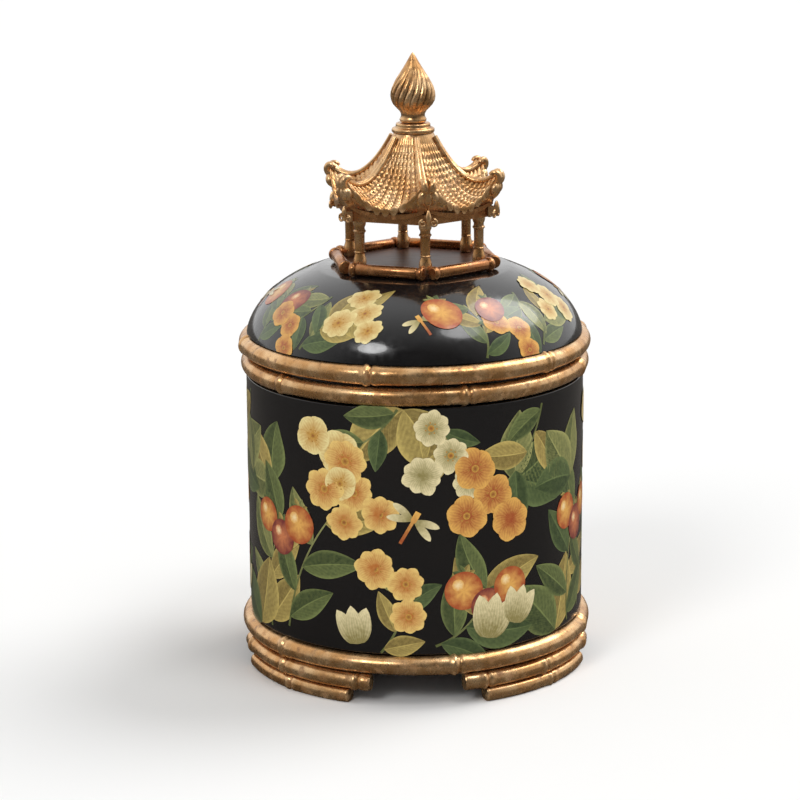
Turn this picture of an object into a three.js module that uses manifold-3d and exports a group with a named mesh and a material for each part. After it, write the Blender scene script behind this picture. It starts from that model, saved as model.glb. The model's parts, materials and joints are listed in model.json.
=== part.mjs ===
// A lidded storage jar: a lacquered wooden cylinder on four bamboo-style feet, and a domed lid
// that lifts off and carries a small six-sided pagoda with a flame finial.
// Millimetres, +Z up, origin on the floor under the middle of the jar.
// Angles are degrees round the jar, from the front (-Y) towards +X.
import * as THREE from "three";
import { mergeVertices } from "three/addons/utils/BufferGeometryUtils.js";
import Module from "manifold-3d";

const wasm = await Module();
wasm.setup();

// Gap between two pieces that touch.
const SEAT = 0.3;

// Jar
const WALL_RADIUS = 96;
const BORE_RADIUS = 88;
const REBATE_RADIUS = 92;
const JAR_HEIGHT = 180;
const BOTTOM_THICKNESS = 8;
const BOTTOM_RAISE = 7;

// Feet, each a short cane under a longer one
const FOOT_CANE_RADIUS = 5.2;
const LOWER_CANE_HEIGHT = 7.3;
const UPPER_CANE_HEIGHT = 9.2;
const LOWER_CANE_ARC = 50;
const UPPER_CANE_ARC = 62;
const FOOT_ANGLES = [48, 132, 228, 312];

// Gilt rings
const BASE_RING_CANE = 6.2;
const BASE_RING_RADIUS = 95.3;
const BASE_RING_RAISE = 5.6;
const RIM_RING_CANE = 5.7;
const RIM_RING_RADIUS = 94;
const RIM_RING_DROP = 5.5;
const LID_RING_CANE = 5.6;
const LID_RING_RADIUS = 94.8;

// Lid
const DOME_RADIUS = 96.2;
const DOME_HEIGHT = 49.3;
const DOME_FULLNESS = 2.3;
const DOME_SPRING = 5.7;
const LAND_HEIGHT = 47.9;
const DOME_THICKNESS = 6;
const COLLAR_DEPTH = 12;
const COLLAR_THICKNESS = 3.5;
const COLLAR_CLEARANCE = 0.8;

// Pagoda
const PAGODA_TURN = 9;
const SIDES = 6;
const RAIL_CORNER_RADIUS = 48.5;
const RAIL_RADIUS = 3.4;
const BEAD_RADIUS = 3.9;
const BEAD_LENGTH = 3.6;
const PLATE_THICKNESS = 2.5;
const COLUMN_PITCH_RADIUS = 38.8;
const COLUMN_HEIGHT = 26.9;
const SHAFT_RADIUS = 2.9;
const COLUMN_FOOT_RADIUS = 3.7;
const ENTABLATURE_CORNER_RADIUS = 44.5;
const ENTABLATURE_WIDTH = 11;
const ENTABLATURE_HEIGHT = 5.8;
const VALANCE_THICKNESS = 2.5;
const VALANCE_DROP = 3.1;
const BRACKET_WIDTH = 3.2;
const BRACKET_REACH = 4.4;
const BRACKET_HEIGHT = 6.2;

// Roof
const ROOF_CORNER_RADIUS = 51;
const ROOF_TOP_RADIUS = 11;
const ROOF_HEIGHT = 39.1;
const EAVE_THICKNESS = 2.4;
const HIP_LIFT = 7;
const TIP_LIFT = 11;
const SOFFIT_LIFT = 5.2;
const RIDGE_RADIUS = 1.7;
const RIDGE_GAP = 0.5;

// Finial
const FINIAL_COLLAR_RADIUS = 12;
const FINIAL_COLLAR_HEIGHT = 5.3;
const NECK_RADIUS = 7;
const BULB_RADIUS = 12.8;
const FINIAL_HEIGHT = 38.9;
const DOWEL_RADIUS = 3;
const DOWEL_LENGTH = 18;

// Fixing under the dome
const SCREW_RADIUS = 2;
const SCREW_HEAD_RADIUS = 4.5;
const SCREW_HEAD_HEIGHT = 2.8;
const WASHER_RADIUS = 8;
const WASHER_THICKNESS = 1.2;

// Facets round a large and a small turned piece
const LARGE_ROUND = 40;
const SMALL_ROUND = 10;

// Levels worked out from the sizes above
const upperCaneBottom = LOWER_CANE_HEIGHT + SEAT;
const wallBottom = upperCaneBottom + UPPER_CANE_HEIGHT + SEAT;
const lidBottom = JAR_HEIGHT + SEAT;
const domeSpring = lidBottom + DOME_SPRING;
const land = lidBottom + LAND_HEIGHT;
const domeCeiling = land - DOME_THICKNESS;
const plateBottom = land + SEAT;
const plateTop = plateBottom + PLATE_THICKNESS;
const railHeight = land + SEAT + BEAD_RADIUS;
const columnBottom = plateTop + SEAT;
const entablatureBottom = columnBottom + COLUMN_HEIGHT + SEAT;
const entablatureTop = entablatureBottom + ENTABLATURE_HEIGHT;
const roofBottom = entablatureTop + SEAT;
const roofTop = roofBottom + ROOF_HEIGHT;
const collarBottom = roofTop + SEAT;
const finialBottom = collarBottom + FINIAL_COLLAR_HEIGHT + SEAT;

const radians = THREE.MathUtils.degToRad;
const apothem = (cornerRadius) => cornerRadius * Math.cos(Math.PI / SIDES);

// A point of the jar from its angle, radius and height.
function around(angle, radius, height) {
  const turn = radians(angle);
  return new THREE.Vector3(radius * Math.sin(turn), -radius * Math.cos(turn), height);
}

// Points on an arc in a radius and height plane.
function arc(radius, height, size, from, to, steps) {
  const points = [];
  for (let step = 0; step <= steps; step += 1) {
    const turn = radians(from + ((to - from) * step) / steps);
    points.push([radius + size * Math.cos(turn), height + size * Math.sin(turn)]);
  }
  return points;
}

// A turned solid about Z. The outline runs up its outer side.
function turned(outline, facets) {
  const points = outline.map(([radius, height]) => new THREE.Vector2(radius, height));
  return new THREE.LatheGeometry(points, facets).rotateX(Math.PI / 2);
}

// A turned ring, whose outline closes on itself.
function turnedRing(outline, facets) {
  return turned([...outline, outline[0]], facets);
}

function solidOf(geometry) {
  const bare = geometry.clone();
  bare.deleteAttribute("normal");
  bare.deleteAttribute("uv");
  const merged = mergeVertices(bare);
  const vertProperties = new Float32Array(merged.attributes.position.array);
  const triVerts = new Uint32Array(merged.index.array);
  return new wasm.Manifold(new wasm.Mesh({ numProp: 3, vertProperties, triVerts }));
}

// A geometry with another one cut out of it.
function cut(geometry, tool) {
  const mesh = solidOf(geometry).subtract(solidOf(tool)).getMesh();
  const result = new THREE.BufferGeometry();
  result.setAttribute("position", new THREE.BufferAttribute(mesh.vertProperties, mesh.numProp));
  result.setIndex(new THREE.BufferAttribute(mesh.triVerts, 1));
  result.computeVertexNormals();
  return result;
}

// A gilt cane bent into a ring, seated on a rebate and cut flat below.
function caneRing(ringRadius, height, caneRadius, bottom) {
  const seat = REBATE_RADIUS + SEAT;
  const inner = THREE.MathUtils.radToDeg(Math.acos((seat - ringRadius) / caneRadius));
  const drop = Math.max((bottom - height) / caneRadius, -1);
  const start = THREE.MathUtils.radToDeg(Math.asin(drop));
  const outline = arc(ringRadius, height, caneRadius, start, inner, 7);
  return turnedRing([[seat, outline[0][1]], ...outline], LARGE_ROUND);
}

// A short cane that follows the jar's edge, flat above and below.
function bentCane(angle, arcLength, radius, bottom, height) {
  const flat = Math.asin(height / 2 / FOOT_CANE_RADIUS);
  const section = new THREE.Shape();
  section.absarc(0, 0, FOOT_CANE_RADIUS, Math.PI / 2 - flat, Math.PI / 2 + flat, false);
  section.absarc(0, 0, FOOT_CANE_RADIUS, (3 * Math.PI) / 2 - flat, (3 * Math.PI) / 2 + flat, false);
  const points = [];
  for (let step = 0; step <= 8; step += 1) {
    points.push(around(angle + arcLength * (step / 8 - 0.5), radius, bottom + height / 2));
  }
  const path = new THREE.CatmullRomCurve3(points);
  return new THREE.ExtrudeGeometry(section, { curveSegments: 3, steps: 8, extrudePath: path });
}

// Outline of the domed shell's outer or inner side, from its spring to its flat top.
function domeCurve(radius, height, top, steps) {
  const points = [];
  const last = Math.asin(Math.min(top / height, 1));
  for (let step = 0; step <= steps; step += 1) {
    const turn = (last * step) / steps;
    const size = radius * Math.cos(turn) ** (2 / DOME_FULLNESS);
    points.push([size, domeSpring + height * Math.sin(turn)]);
  }
  return points;
}

function jarWall() {
  const lower = wallBottom + BASE_RING_RAISE + BASE_RING_CANE + SEAT;
  const upper = JAR_HEIGHT - RIM_RING_DROP - RIM_RING_CANE - SEAT;
  return turnedRing(
    [
      [BORE_RADIUS, wallBottom],
      [REBATE_RADIUS, wallBottom],
      [REBATE_RADIUS, lower],
      [WALL_RADIUS, lower],
      [WALL_RADIUS, upper],
      [REBATE_RADIUS, upper],
      [REBATE_RADIUS, JAR_HEIGHT],
      [BORE_RADIUS, JAR_HEIGHT],
    ],
    LARGE_ROUND,
  );
}

function jarBottom() {
  const bottom = wallBottom + BOTTOM_RAISE;
  const radius = BORE_RADIUS - SEAT;
  const top = bottom + BOTTOM_THICKNESS;
  return turned([[0, bottom], [radius, bottom], [radius, top], [0, top]], LARGE_ROUND);
}

function lidDome() {
  const ringTop = domeSpring + LID_RING_CANE + SEAT;
  const screwHole = SCREW_RADIUS + 2 * SEAT;
  const outer = domeCurve(DOME_RADIUS, DOME_HEIGHT, land - domeSpring, 9);
  const first = outer.findIndex(([, height]) => height > ringTop);
  const inner = domeCurve(BORE_RADIUS, domeCeiling - domeSpring, domeCeiling - domeSpring, 7);
  return turnedRing(
    [
      [BORE_RADIUS, lidBottom],
      [REBATE_RADIUS, lidBottom],
      [REBATE_RADIUS, ringTop],
      [outer[first][0], ringTop],
      ...outer.slice(first),
      [screwHole, land],
      [screwHole, domeCeiling],
      ...inner.slice(0, -1).reverse(),
    ],
    LARGE_ROUND,
  );
}

function locatingCollar() {
  const wide = BORE_RADIUS - SEAT;
  const narrow = BORE_RADIUS - COLLAR_CLEARANCE;
  const inner = BORE_RADIUS - COLLAR_THICKNESS;
  return turnedRing(
    [
      [inner, JAR_HEIGHT - COLLAR_DEPTH],
      [narrow, JAR_HEIGHT - COLLAR_DEPTH],
      [narrow, lidBottom],
      [wide, lidBottom],
      [wide, domeSpring - SEAT],
      [inner, domeSpring - SEAT],
    ],
    LARGE_ROUND,
  );
}

// A flat six-sided piece with its corners on the pagoda's.
function hexagon(cornerRadius) {
  const corners = [];
  for (let side = 0; side < SIDES; side += 1) {
    const corner = around(PAGODA_TURN + (side * 360) / SIDES, cornerRadius, 0);
    corners.push(new THREE.Vector2(corner.x, corner.y));
  }
  return corners;
}

function basePlate() {
  const reach = apothem(RAIL_CORNER_RADIUS) - BEAD_RADIUS - SEAT;
  const outline = new THREE.Shape(hexagon(reach / Math.cos(Math.PI / SIDES)));
  const plate = new THREE.ExtrudeGeometry(outline, { depth: PLATE_THICKNESS, bevelEnabled: false });
  plate.translate(0, 0, plateBottom);
  const bore = new THREE.CylinderGeometry(SCREW_RADIUS + SEAT, SCREW_RADIUS + SEAT, PLATE_THICKNESS, 12);
  bore.rotateX(Math.PI / 2).translate(0, 0, plateBottom + PLATE_THICKNESS / 2 - 2 * SEAT);
  return cut(plate, bore);
}

// A rail lies along X, centred, with a bead at each end.
function baseRail() {
  const mitre = BEAD_RADIUS * Math.tan(Math.PI / SIDES) + SEAT;
  const half = RAIL_CORNER_RADIUS / 2 - mitre;
  const waist = half - BEAD_LENGTH;
  const outline = [
    [0, -half],
    [RAIL_RADIUS, -half],
    [BEAD_RADIUS, -half + BEAD_LENGTH / 2],
    [RAIL_RADIUS, -waist],
    [RAIL_RADIUS, waist],
    [BEAD_RADIUS, half - BEAD_LENGTH / 2],
    [RAIL_RADIUS, half],
    [0, half],
  ];
  return turned(outline, SMALL_ROUND).rotateY(Math.PI / 2);
}

function column() {
  const top = COLUMN_HEIGHT;
  const outline = [
    [0, 0],
    [SHAFT_RADIUS, 0],
    [COLUMN_FOOT_RADIUS, 2],
    [COLUMN_FOOT_RADIUS, 4.5],
    [SHAFT_RADIUS, 8],
    [SHAFT_RADIUS, top - 6],
    [SHAFT_RADIUS + 0.7, top - 5],
    [SHAFT_RADIUS, top - 4],
    [SHAFT_RADIUS + 0.5, top],
    [0, top],
  ];
  return turned(outline, SMALL_ROUND);
}

function entablature() {
  const outline = new THREE.Shape(hexagon(ENTABLATURE_CORNER_RADIUS));
  outline.holes.push(new THREE.Path(hexagon(ENTABLATURE_CORNER_RADIUS - ENTABLATURE_WIDTH)));
  const ring = new THREE.ExtrudeGeometry(outline, { depth: ENTABLATURE_HEIGHT, bevelEnabled: false });
  return ring.translate(0, 0, entablatureBottom);
}

// A crescent board that hangs under one eave. It stands in the XZ plane, facing -Y.
function valance() {
  const half = apothem(ENTABLATURE_CORNER_RADIUS) * Math.tan(Math.PI / SIDES) - 2 * SEAT;
  const rise = SOFFIT_LIFT * 0.62;
  const outline = new THREE.Shape();
  outline.moveTo(-half, rise);
  outline.quadraticCurveTo(0, -rise, half, rise);
  outline.lineTo(half, rise - VALANCE_DROP / 2);
  outline.quadraticCurveTo(0, -rise - 1.5 * VALANCE_DROP, -half, rise - VALANCE_DROP / 2);
  const board = new THREE.ExtrudeGeometry(outline, {
    depth: VALANCE_THICKNESS,
    curveSegments: 8,
    bevelEnabled: false,
  });
  return board.rotateX(Math.PI / 2);
}

// A corner bracket, with its outline in the XZ plane and its back on X = 0.
function bracket() {
  const outline = new THREE.Shape();
  outline.moveTo(0, 0);
  outline.lineTo(BRACKET_REACH / 3, 0);
  outline.quadraticCurveTo(BRACKET_REACH / 2, BRACKET_HEIGHT / 2, BRACKET_REACH, BRACKET_HEIGHT * 0.8);
  outline.lineTo(BRACKET_REACH, BRACKET_HEIGHT);
  outline.lineTo(0, BRACKET_HEIGHT);
  const block = new THREE.ExtrudeGeometry(outline, {
    depth: BRACKET_WIDTH,
    curveSegments: 4,
    bevelEnabled: false,
  });
  return block.translate(0, 0, -BRACKET_WIDTH / 2).rotateX(Math.PI / 2);
}

// Height of the roof along a hip and along the middle of a face, from 0 at the top to 1 at the eave.
function hipHeight(share) {
  const low = roofBottom + EAVE_THICKNESS + HIP_LIFT;
  return low + (roofTop - low) * (1 - share) ** 2.5 + TIP_LIFT * share ** 4;
}

function faceHeight(share) {
  const low = roofBottom + EAVE_THICKNESS;
  return low + (roofTop - low) * (1 - share) ** 2;
}

// The swept roof, as rings of points from its flat top over the eave to its flat underside.
function roof() {
  const facets = SIDES * 6;
  const rows = 12;
  const flatRadius = apothem(ENTABLATURE_CORNER_RADIUS) - 2.5;
  const rings = [];
  for (let row = 0; row <= rows; row += 1) {
    const share = row / rows;
    rings.push((hip, edge) => {
      const radius = ROOF_TOP_RADIUS + (edge - ROOF_TOP_RADIUS) * share;
      const middle = faceHeight(share);
      return [radius, middle + (hipHeight(share) - middle) * hip ** 2.2];
    });
  }
  rings.push((hip, edge) => [edge, roofBottom + SEAT + SOFFIT_LIFT * hip ** 2]);
  rings.push(() => [flatRadius, roofBottom]);
  const positions = [];
  rings.forEach((ring) => {
    for (let facet = 0; facet < facets; facet += 1) {
      const fromHip = ((facet % 6) / 6) * (360 / SIDES);
      const fromMiddle = fromHip - 180 / SIDES;
      const hip = Math.abs(fromMiddle) / (180 / SIDES);
      const edge = apothem(ROOF_CORNER_RADIUS) / Math.cos(radians(fromMiddle));
      const [radius, height] = ring(hip, edge);
      const point = around(PAGODA_TURN + (facet * 360) / facets, radius, height);
      positions.push(point.x, point.y, point.z);
    }
  });
  const top = positions.length / 3;
  positions.push(0, 0, roofTop);
  positions.push(0, 0, roofBottom);
  const faces = [];
  for (let facet = 0; facet < facets; facet += 1) {
    const next = (facet + 1) % facets;
    for (let ring = 0; ring < rings.length - 1; ring += 1) {
      const here = ring * facets;
      const below = here + facets;
      faces.push(here + facet, below + facet, here + next);
      faces.push(here + next, below + facet, below + next);
    }
    const last = (rings.length - 1) * facets;
    faces.push(top, facet, next);
    faces.push(top + 1, last + next, last + facet);
  }
  const shape = new THREE.BufferGeometry();
  shape.setAttribute("position", new THREE.Float32BufferAttribute(positions, 3));
  shape.setIndex(faces);
  shape.computeVertexNormals();
  const bore = new THREE.CylinderGeometry(DOWEL_RADIUS + SEAT, DOWEL_RADIUS + SEAT, DOWEL_LENGTH, 12);
  bore.rotateX(Math.PI / 2);
  bore.translate(0, 0, finialBottom - DOWEL_LENGTH / 2 - SEAT);
  return cut(shape, bore);
}

// A rounded ridge over one hip, lifted off the roof by its own radius.
function hipRidge(angle) {
  const points = [];
  const lift = RIDGE_RADIUS + RIDGE_GAP;
  const from = 0.15;
  const to = 0.92;
  const steps = 9;
  for (let step = 0; step <= steps; step += 1) {
    const share = from + ((to - from) * step) / steps;
    const run = ROOF_CORNER_RADIUS - ROOF_TOP_RADIUS;
    const slope = (hipHeight(share + 0.01) - hipHeight(share - 0.01)) / (0.02 * run);
    const length = Math.hypot(1, slope);
    const radius = ROOF_TOP_RADIUS + run * share - (slope / length) * lift;
    points.push(around(angle, radius, hipHeight(share) + lift / length));
  }
  const section = new THREE.Shape();
  section.absarc(0, 0, RIDGE_RADIUS, 0, 2 * Math.PI, false);
  const path = new THREE.CatmullRomCurve3(points);
  return new THREE.ExtrudeGeometry(section, { curveSegments: 7, steps, extrudePath: path });
}

function roofCollar() {
  const bore = DOWEL_RADIUS + SEAT;
  const top = collarBottom + FINIAL_COLLAR_HEIGHT;
  const step = collarBottom + FINIAL_COLLAR_HEIGHT * 0.45;
  const upper = (FINIAL_COLLAR_RADIUS + NECK_RADIUS) / 2;
  return turnedRing(
    [
      [bore, collarBottom],
      [FINIAL_COLLAR_RADIUS, collarBottom],
      [FINIAL_COLLAR_RADIUS, step],
      [upper, step],
      [upper, top],
      [bore, top],
    ],
    2 * SMALL_ROUND,
  );
}

// The flame-shaped knob, with the dowel that holds it down.
function flameFinial() {
  const neckTop = finialBottom + FINIAL_HEIGHT * 0.14;
  const bulbHeight = finialBottom + FINIAL_HEIGHT * 0.37;
  const tip = finialBottom + FINIAL_HEIGHT;
  const outline = [
    [0, finialBottom - DOWEL_LENGTH + 2 * SEAT],
    [DOWEL_RADIUS, finialBottom - DOWEL_LENGTH + 2 * SEAT],
    [DOWEL_RADIUS, finialBottom],
    [NECK_RADIUS, finialBottom],
    [NECK_RADIUS + 0.6, finialBottom + 1.3],
    [NECK_RADIUS, finialBottom + 2.6],
    [NECK_RADIUS, neckTop],
  ];
  const under = 4;
  for (let step = 1; step <= under; step += 1) {
    const turn = (Math.PI / 2) * (step / under);
    outline.push([
      NECK_RADIUS + (BULB_RADIUS - NECK_RADIUS) * Math.sin(turn),
      bulbHeight - (bulbHeight - neckTop) * Math.cos(turn),
    ]);
  }
  const over = 7;
  for (let step = 1; step <= over; step += 1) {
    const share = step / over;
    outline.push([BULB_RADIUS * (1 - share ** 1.45), bulbHeight + (tip - bulbHeight) * share]);
  }
  return turned(outline, 2 * SMALL_ROUND);
}

function fixingScrew() {
  const seat = domeCeiling - 2 * SEAT - WASHER_THICKNESS;
  const bottom = seat - SEAT - SCREW_HEAD_HEIGHT;
  const tip = plateTop - 3 * SEAT - SEAT;
  const outline = [
    [0, bottom],
    [SCREW_HEAD_RADIUS, bottom],
    [SCREW_HEAD_RADIUS, bottom + SCREW_HEAD_HEIGHT],
    [SCREW_RADIUS, bottom + SCREW_HEAD_HEIGHT],
    [SCREW_RADIUS, tip],
    [0, tip],
  ];
  return turned(outline, SMALL_ROUND);
}

function fixingWasher() {
  const top = domeCeiling - 2 * SEAT;
  const bottom = top - WASHER_THICKNESS;
  const bore = SCREW_RADIUS + 2 * SEAT;
  return turnedRing([[bore, bottom], [WASHER_RADIUS, bottom], [WASHER_RADIUS, top], [bore, top]], 20);
}

const LACQUER = new THREE.MeshStandardMaterial({ color: 0x141618, roughness: 0.12 });
const GILT = new THREE.MeshStandardMaterial({ color: 0xb08a55, roughness: 0.4, metalness: 0.8 });
const DARK_WOOD = new THREE.MeshStandardMaterial({ color: 0x3a1d12, roughness: 0.5 });
const STEEL = new THREE.MeshStandardMaterial({ color: 0x9a9a98, roughness: 0.35, metalness: 1 });

const jar = new THREE.Group();
const lid = new THREE.Group();

function add(group, name, geometry, material) {
  const mesh = new THREE.Mesh(geometry, material);
  mesh.name = name;
  group.add(mesh);
  return mesh;
}

// Turns a piece that was made facing the front to its own angle.
function face(mesh, angle) {
  mesh.rotation.z = radians(angle);
}

add(jar, "jar_wall", jarWall(), LACQUER);
add(jar, "jar_bottom", jarBottom(), DARK_WOOD);
const baseRingHeight = wallBottom + BASE_RING_RAISE;
add(jar, "base_ring", caneRing(BASE_RING_RADIUS, baseRingHeight, BASE_RING_CANE, wallBottom), GILT);
const rimRingHeight = JAR_HEIGHT - RIM_RING_DROP;
add(jar, "jar_rim_ring", caneRing(RIM_RING_RADIUS, rimRingHeight, RIM_RING_CANE, 0), GILT);
FOOT_ANGLES.forEach((angle, index) => {
  const name = index + 1;
  const radius = BASE_RING_RADIUS;
  const lower = bentCane(angle, LOWER_CANE_ARC, radius, 0, LOWER_CANE_HEIGHT);
  const upper = bentCane(angle, UPPER_CANE_ARC, radius, upperCaneBottom, UPPER_CANE_HEIGHT);
  add(jar, `lower_cane_${name}`, lower, GILT);
  add(jar, `upper_cane_${name}`, upper, GILT);
});

add(lid, "lid_dome", lidDome(), LACQUER);
add(lid, "lid_rim_ring", caneRing(LID_RING_RADIUS, domeSpring, LID_RING_CANE, lidBottom), GILT);
add(lid, "lid_locating_collar", locatingCollar(), DARK_WOOD);
add(lid, "base_plate", basePlate(), DARK_WOOD);
add(lid, "entablature", entablature(), GILT);
add(lid, "roof", roof(), GILT);
add(lid, "roof_collar", roofCollar(), GILT);
add(lid, "flame_finial", flameFinial(), GILT);
add(lid, "fixing_screw", fixingScrew(), STEEL);
add(lid, "fixing_washer", fixingWasher(), STEEL);

for (let side = 0; side < SIDES; side += 1) {
  const name = side + 1;
  const corner = PAGODA_TURN + (side * 360) / SIDES;
  const middle = corner + 180 / SIDES;

  const rail = add(lid, `base_rail_${name}`, baseRail(), GILT);
  rail.position.copy(around(middle, apothem(RAIL_CORNER_RADIUS), railHeight));
  face(rail, middle);

  const post = add(lid, `column_${name}`, column(), GILT);
  post.position.copy(around(corner, COLUMN_PITCH_RADIUS, columnBottom));
  face(post, corner);

  const board = add(lid, `valance_${name}`, valance(), GILT);
  const boardRadius = apothem(ENTABLATURE_CORNER_RADIUS) + SEAT;
  board.position.copy(around(middle, boardRadius, entablatureTop - SEAT));
  face(board, middle);

  const support = add(lid, `bracket_${name}`, bracket(), GILT);
  support.position.copy(around(corner, ENTABLATURE_CORNER_RADIUS + SEAT, entablatureBottom));
  face(support, corner - 90);

  add(lid, `hip_ridge_${name}`, hipRidge(corner), GILT);
}

const storageJar = new THREE.Group();
storageJar.add(jar, lid);

export default storageJar;
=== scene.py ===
"""A lacquered storage jar with gilt bamboo rings and a pagoda on its lid, dressed round its frame.

Sizes are in millimetres and are multiplied by MM where a mesh takes them. Angles are in degrees and go
round the jar from the front (-Y) towards +X.
"""

import json
import logging
import math
import random
from dataclasses import dataclass, field
from enum import Enum
from typing import Callable

import bmesh
import bpy
from mathutils import Matrix, Vector


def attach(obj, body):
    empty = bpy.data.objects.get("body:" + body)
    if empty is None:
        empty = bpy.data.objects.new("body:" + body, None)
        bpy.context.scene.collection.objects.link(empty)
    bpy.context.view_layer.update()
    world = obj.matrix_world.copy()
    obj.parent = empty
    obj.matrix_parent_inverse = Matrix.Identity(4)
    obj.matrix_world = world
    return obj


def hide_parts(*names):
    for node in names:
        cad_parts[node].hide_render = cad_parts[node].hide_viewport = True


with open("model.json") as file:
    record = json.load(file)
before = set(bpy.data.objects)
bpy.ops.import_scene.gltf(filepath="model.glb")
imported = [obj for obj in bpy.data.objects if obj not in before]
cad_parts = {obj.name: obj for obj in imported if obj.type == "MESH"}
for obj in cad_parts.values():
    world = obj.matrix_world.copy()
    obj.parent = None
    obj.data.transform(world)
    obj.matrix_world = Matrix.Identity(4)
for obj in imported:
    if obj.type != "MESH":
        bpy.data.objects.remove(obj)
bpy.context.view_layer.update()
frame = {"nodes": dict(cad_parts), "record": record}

MM = 0.001
LOG = logging.getLogger("storage_jar")

Colour = tuple[float, float, float, float]
Spot = tuple[float, float]
Outline = list[Spot]
Face = tuple[int, ...]
Form = tuple[list[Vector], list[Face]]

UPRIGHT = Vector((0, 0, 1))


class Body(Enum):
    """The two bodies that a piece can ride on."""

    JAR = "jar"
    LID = "lid"


class Slot(Enum):
    """The material slots of the record."""

    LACQUER = "lacquer"
    GILT = "gilt"
    DARK_WOOD = "dark_wood"
    STEEL = "steel"


def around(angle: float, radius: float, height: float) -> Vector:
    """A point from its angle in degrees, and its radius and height in millimetres."""
    turn = math.radians(angle)
    return Vector((radius * math.sin(turn), -radius * math.cos(turn), height)) * MM


class NodeSheet:
    """A material's node tree, with short calls for the nodes that the finishes use."""

    def __init__(self, name: str) -> None:
        """Starts a material with a Principled surface.

        Args:
            name: the material's name.
        """
        self.material = bpy.data.materials.new(name)
        self.material.use_nodes = True
        self.nodes = self.material.node_tree.nodes
        self.links = self.material.node_tree.links
        self.surface = self.nodes["Principled BSDF"]

    def set(self, socket: bpy.types.NodeSocket, value: object) -> None:
        """Links a socket to another, or gives it a value.

        Args:
            socket: the input to set.
            value: another socket, or a plain value.
        """
        if isinstance(value, bpy.types.NodeSocket):
            self.links.new(value, socket)
        else:
            socket.default_value = value

    def place(self) -> bpy.types.NodeSocket:
        """The point's place on the object."""
        return self.nodes.new("ShaderNodeTexCoord").outputs["Object"]

    def noise(self, scale: float, detail: float, vector: bpy.types.NodeSocket) -> bpy.types.NodeSocket:
        """A noise value between 0 and 1.

        Args:
            scale: how fine it is, per metre.
            detail: how many finer layers it has.
            vector: the place to read it at.

        Returns:
            The noise's value.
        """
        node = self.nodes.new("ShaderNodeTexNoise")
        node.inputs["Scale"].default_value = scale
        node.inputs["Detail"].default_value = detail
        self.links.new(vector, node.inputs["Vector"])
        return node.outputs[0]

    def ramp(
        self, value: bpy.types.NodeSocket, low: float, high: float, start: float, end: float
    ) -> bpy.types.NodeSocket:
        """Maps a value from one range to another, clamped.

        Args:
            value: what is mapped.
            low: the value that gives start.
            high: the value that gives end.
            start: the result at low.
            end: the result at high.

        Returns:
            The mapped value.
        """
        node = self.nodes.new("ShaderNodeMapRange")
        self.links.new(value, node.inputs["Value"])
        for name, number in (("From Min", low), ("From Max", high), ("To Min", start), ("To Max", end)):
            node.inputs[name].default_value = number
        return node.outputs["Result"]

    def mix(self, factor: object, first: object, second: object) -> bpy.types.NodeSocket:
        """Blends two colours.

        Args:
            factor: how much of the second colour shows.
            first: the colour at 0.
            second: the colour at 1.

        Returns:
            The blended colour.
        """
        node = self.nodes.new("ShaderNodeMix")
        node.data_type = "RGBA"
        self.set(node.inputs[0], factor)
        self.set(node.inputs[6], first)
        self.set(node.inputs[7], second)
        return node.outputs[2]

    def math(self, operation: str, first: object, second: object = 0.0) -> bpy.types.NodeSocket:
        """One arithmetic step.

        Args:
            operation: the step's name.
            first: its first number.
            second: its second number, if it has one.

        Returns:
            The step's result.
        """
        node = self.nodes.new("ShaderNodeMath")
        node.operation = operation
        self.set(node.inputs[0], first)
        self.set(node.inputs[1], second)
        return node.outputs[0]

    def bump(self, height: bpy.types.NodeSocket, strength: float, distance: float) -> None:
        """Bumps the surface by a height value.

        Args:
            height: the height value.
            strength: how strongly it shows.
            distance: how high it stands, in metres.
        """
        node = self.nodes.new("ShaderNodeBump")
        node.inputs["Strength"].default_value = strength
        node.inputs["Distance"].default_value = distance
        self.links.new(height, node.inputs["Height"])
        self.links.new(node.outputs["Normal"], self.surface.inputs["Normal"])


@dataclass(frozen=True)
class GiltFinish:
    """Antique gold leaf over red-brown bole, rubbed and flecked, with painted shade in its creases and a
    painted highlight on its sharp edges.
    """

    name: str = "antique_gilt"
    leaf: Colour = (0.60, 0.31, 0.115, 1)
    # Pale gold for the lighter patches, and for the painted highlight on sharp edges.
    pale: Colour = (0.90, 0.60, 0.32, 1)
    bole: Colour = (0.15, 0.045, 0.012, 1)
    # Near-black for the flecks, and for the painted shade in creases and hollows.
    crease: Colour = (0.03, 0.010, 0.003, 1)

    def material(self) -> bpy.types.Material:
        """Builds the material.

        Returns:
            The gilt material.
        """
        sheet = NodeSheet(self.name)
        place = sheet.place()
        cloud = sheet.noise(75, 6, place)
        fleck = sheet.noise(1100, 4, place)
        grain = sheet.noise(420, 5, place)
        gold = sheet.mix(sheet.ramp(cloud, 0.42, 0.7, 0, 1), self.leaf, self.pale)
        rubbed = sheet.ramp(sheet.noise(190, 8, place), 0.55, 0.72, 0, 0.75)
        worn = sheet.mix(rubbed, gold, self.bole)
        flecked = sheet.mix(sheet.ramp(fleck, 0.64, 0.72, 0, 0.7), worn, self.crease)
        # Painted shade: creases and hollows, found by low pointiness, darken towards the crease colour.
        pointiness = sheet.nodes.new("ShaderNodeNewGeometry").outputs["Pointiness"]
        hollow = sheet.ramp(pointiness, 0.43, 0.496, 0.95, 0)
        with_painted_crease_shade = sheet.mix(hollow, flecked, self.crease)
        # Painted highlight: sharp outer edges, found by high pointiness, lighten towards pale gold.
        edge = sheet.ramp(pointiness, 0.51, 0.58, 0, 0.6)
        sheet.set(sheet.surface.inputs["Base Color"], sheet.mix(edge, with_painted_crease_shade, self.pale))
        sheet.set(sheet.surface.inputs["Metallic"], sheet.ramp(rubbed, 0, 0.75, 0.9, 0.35))
        sheet.set(sheet.surface.inputs["Roughness"], sheet.ramp(grain, 0.3, 0.7, 0.2, 0.38))
        sheet.bump(grain, 0.35, 0.25 * MM)
        return sheet.material


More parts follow.
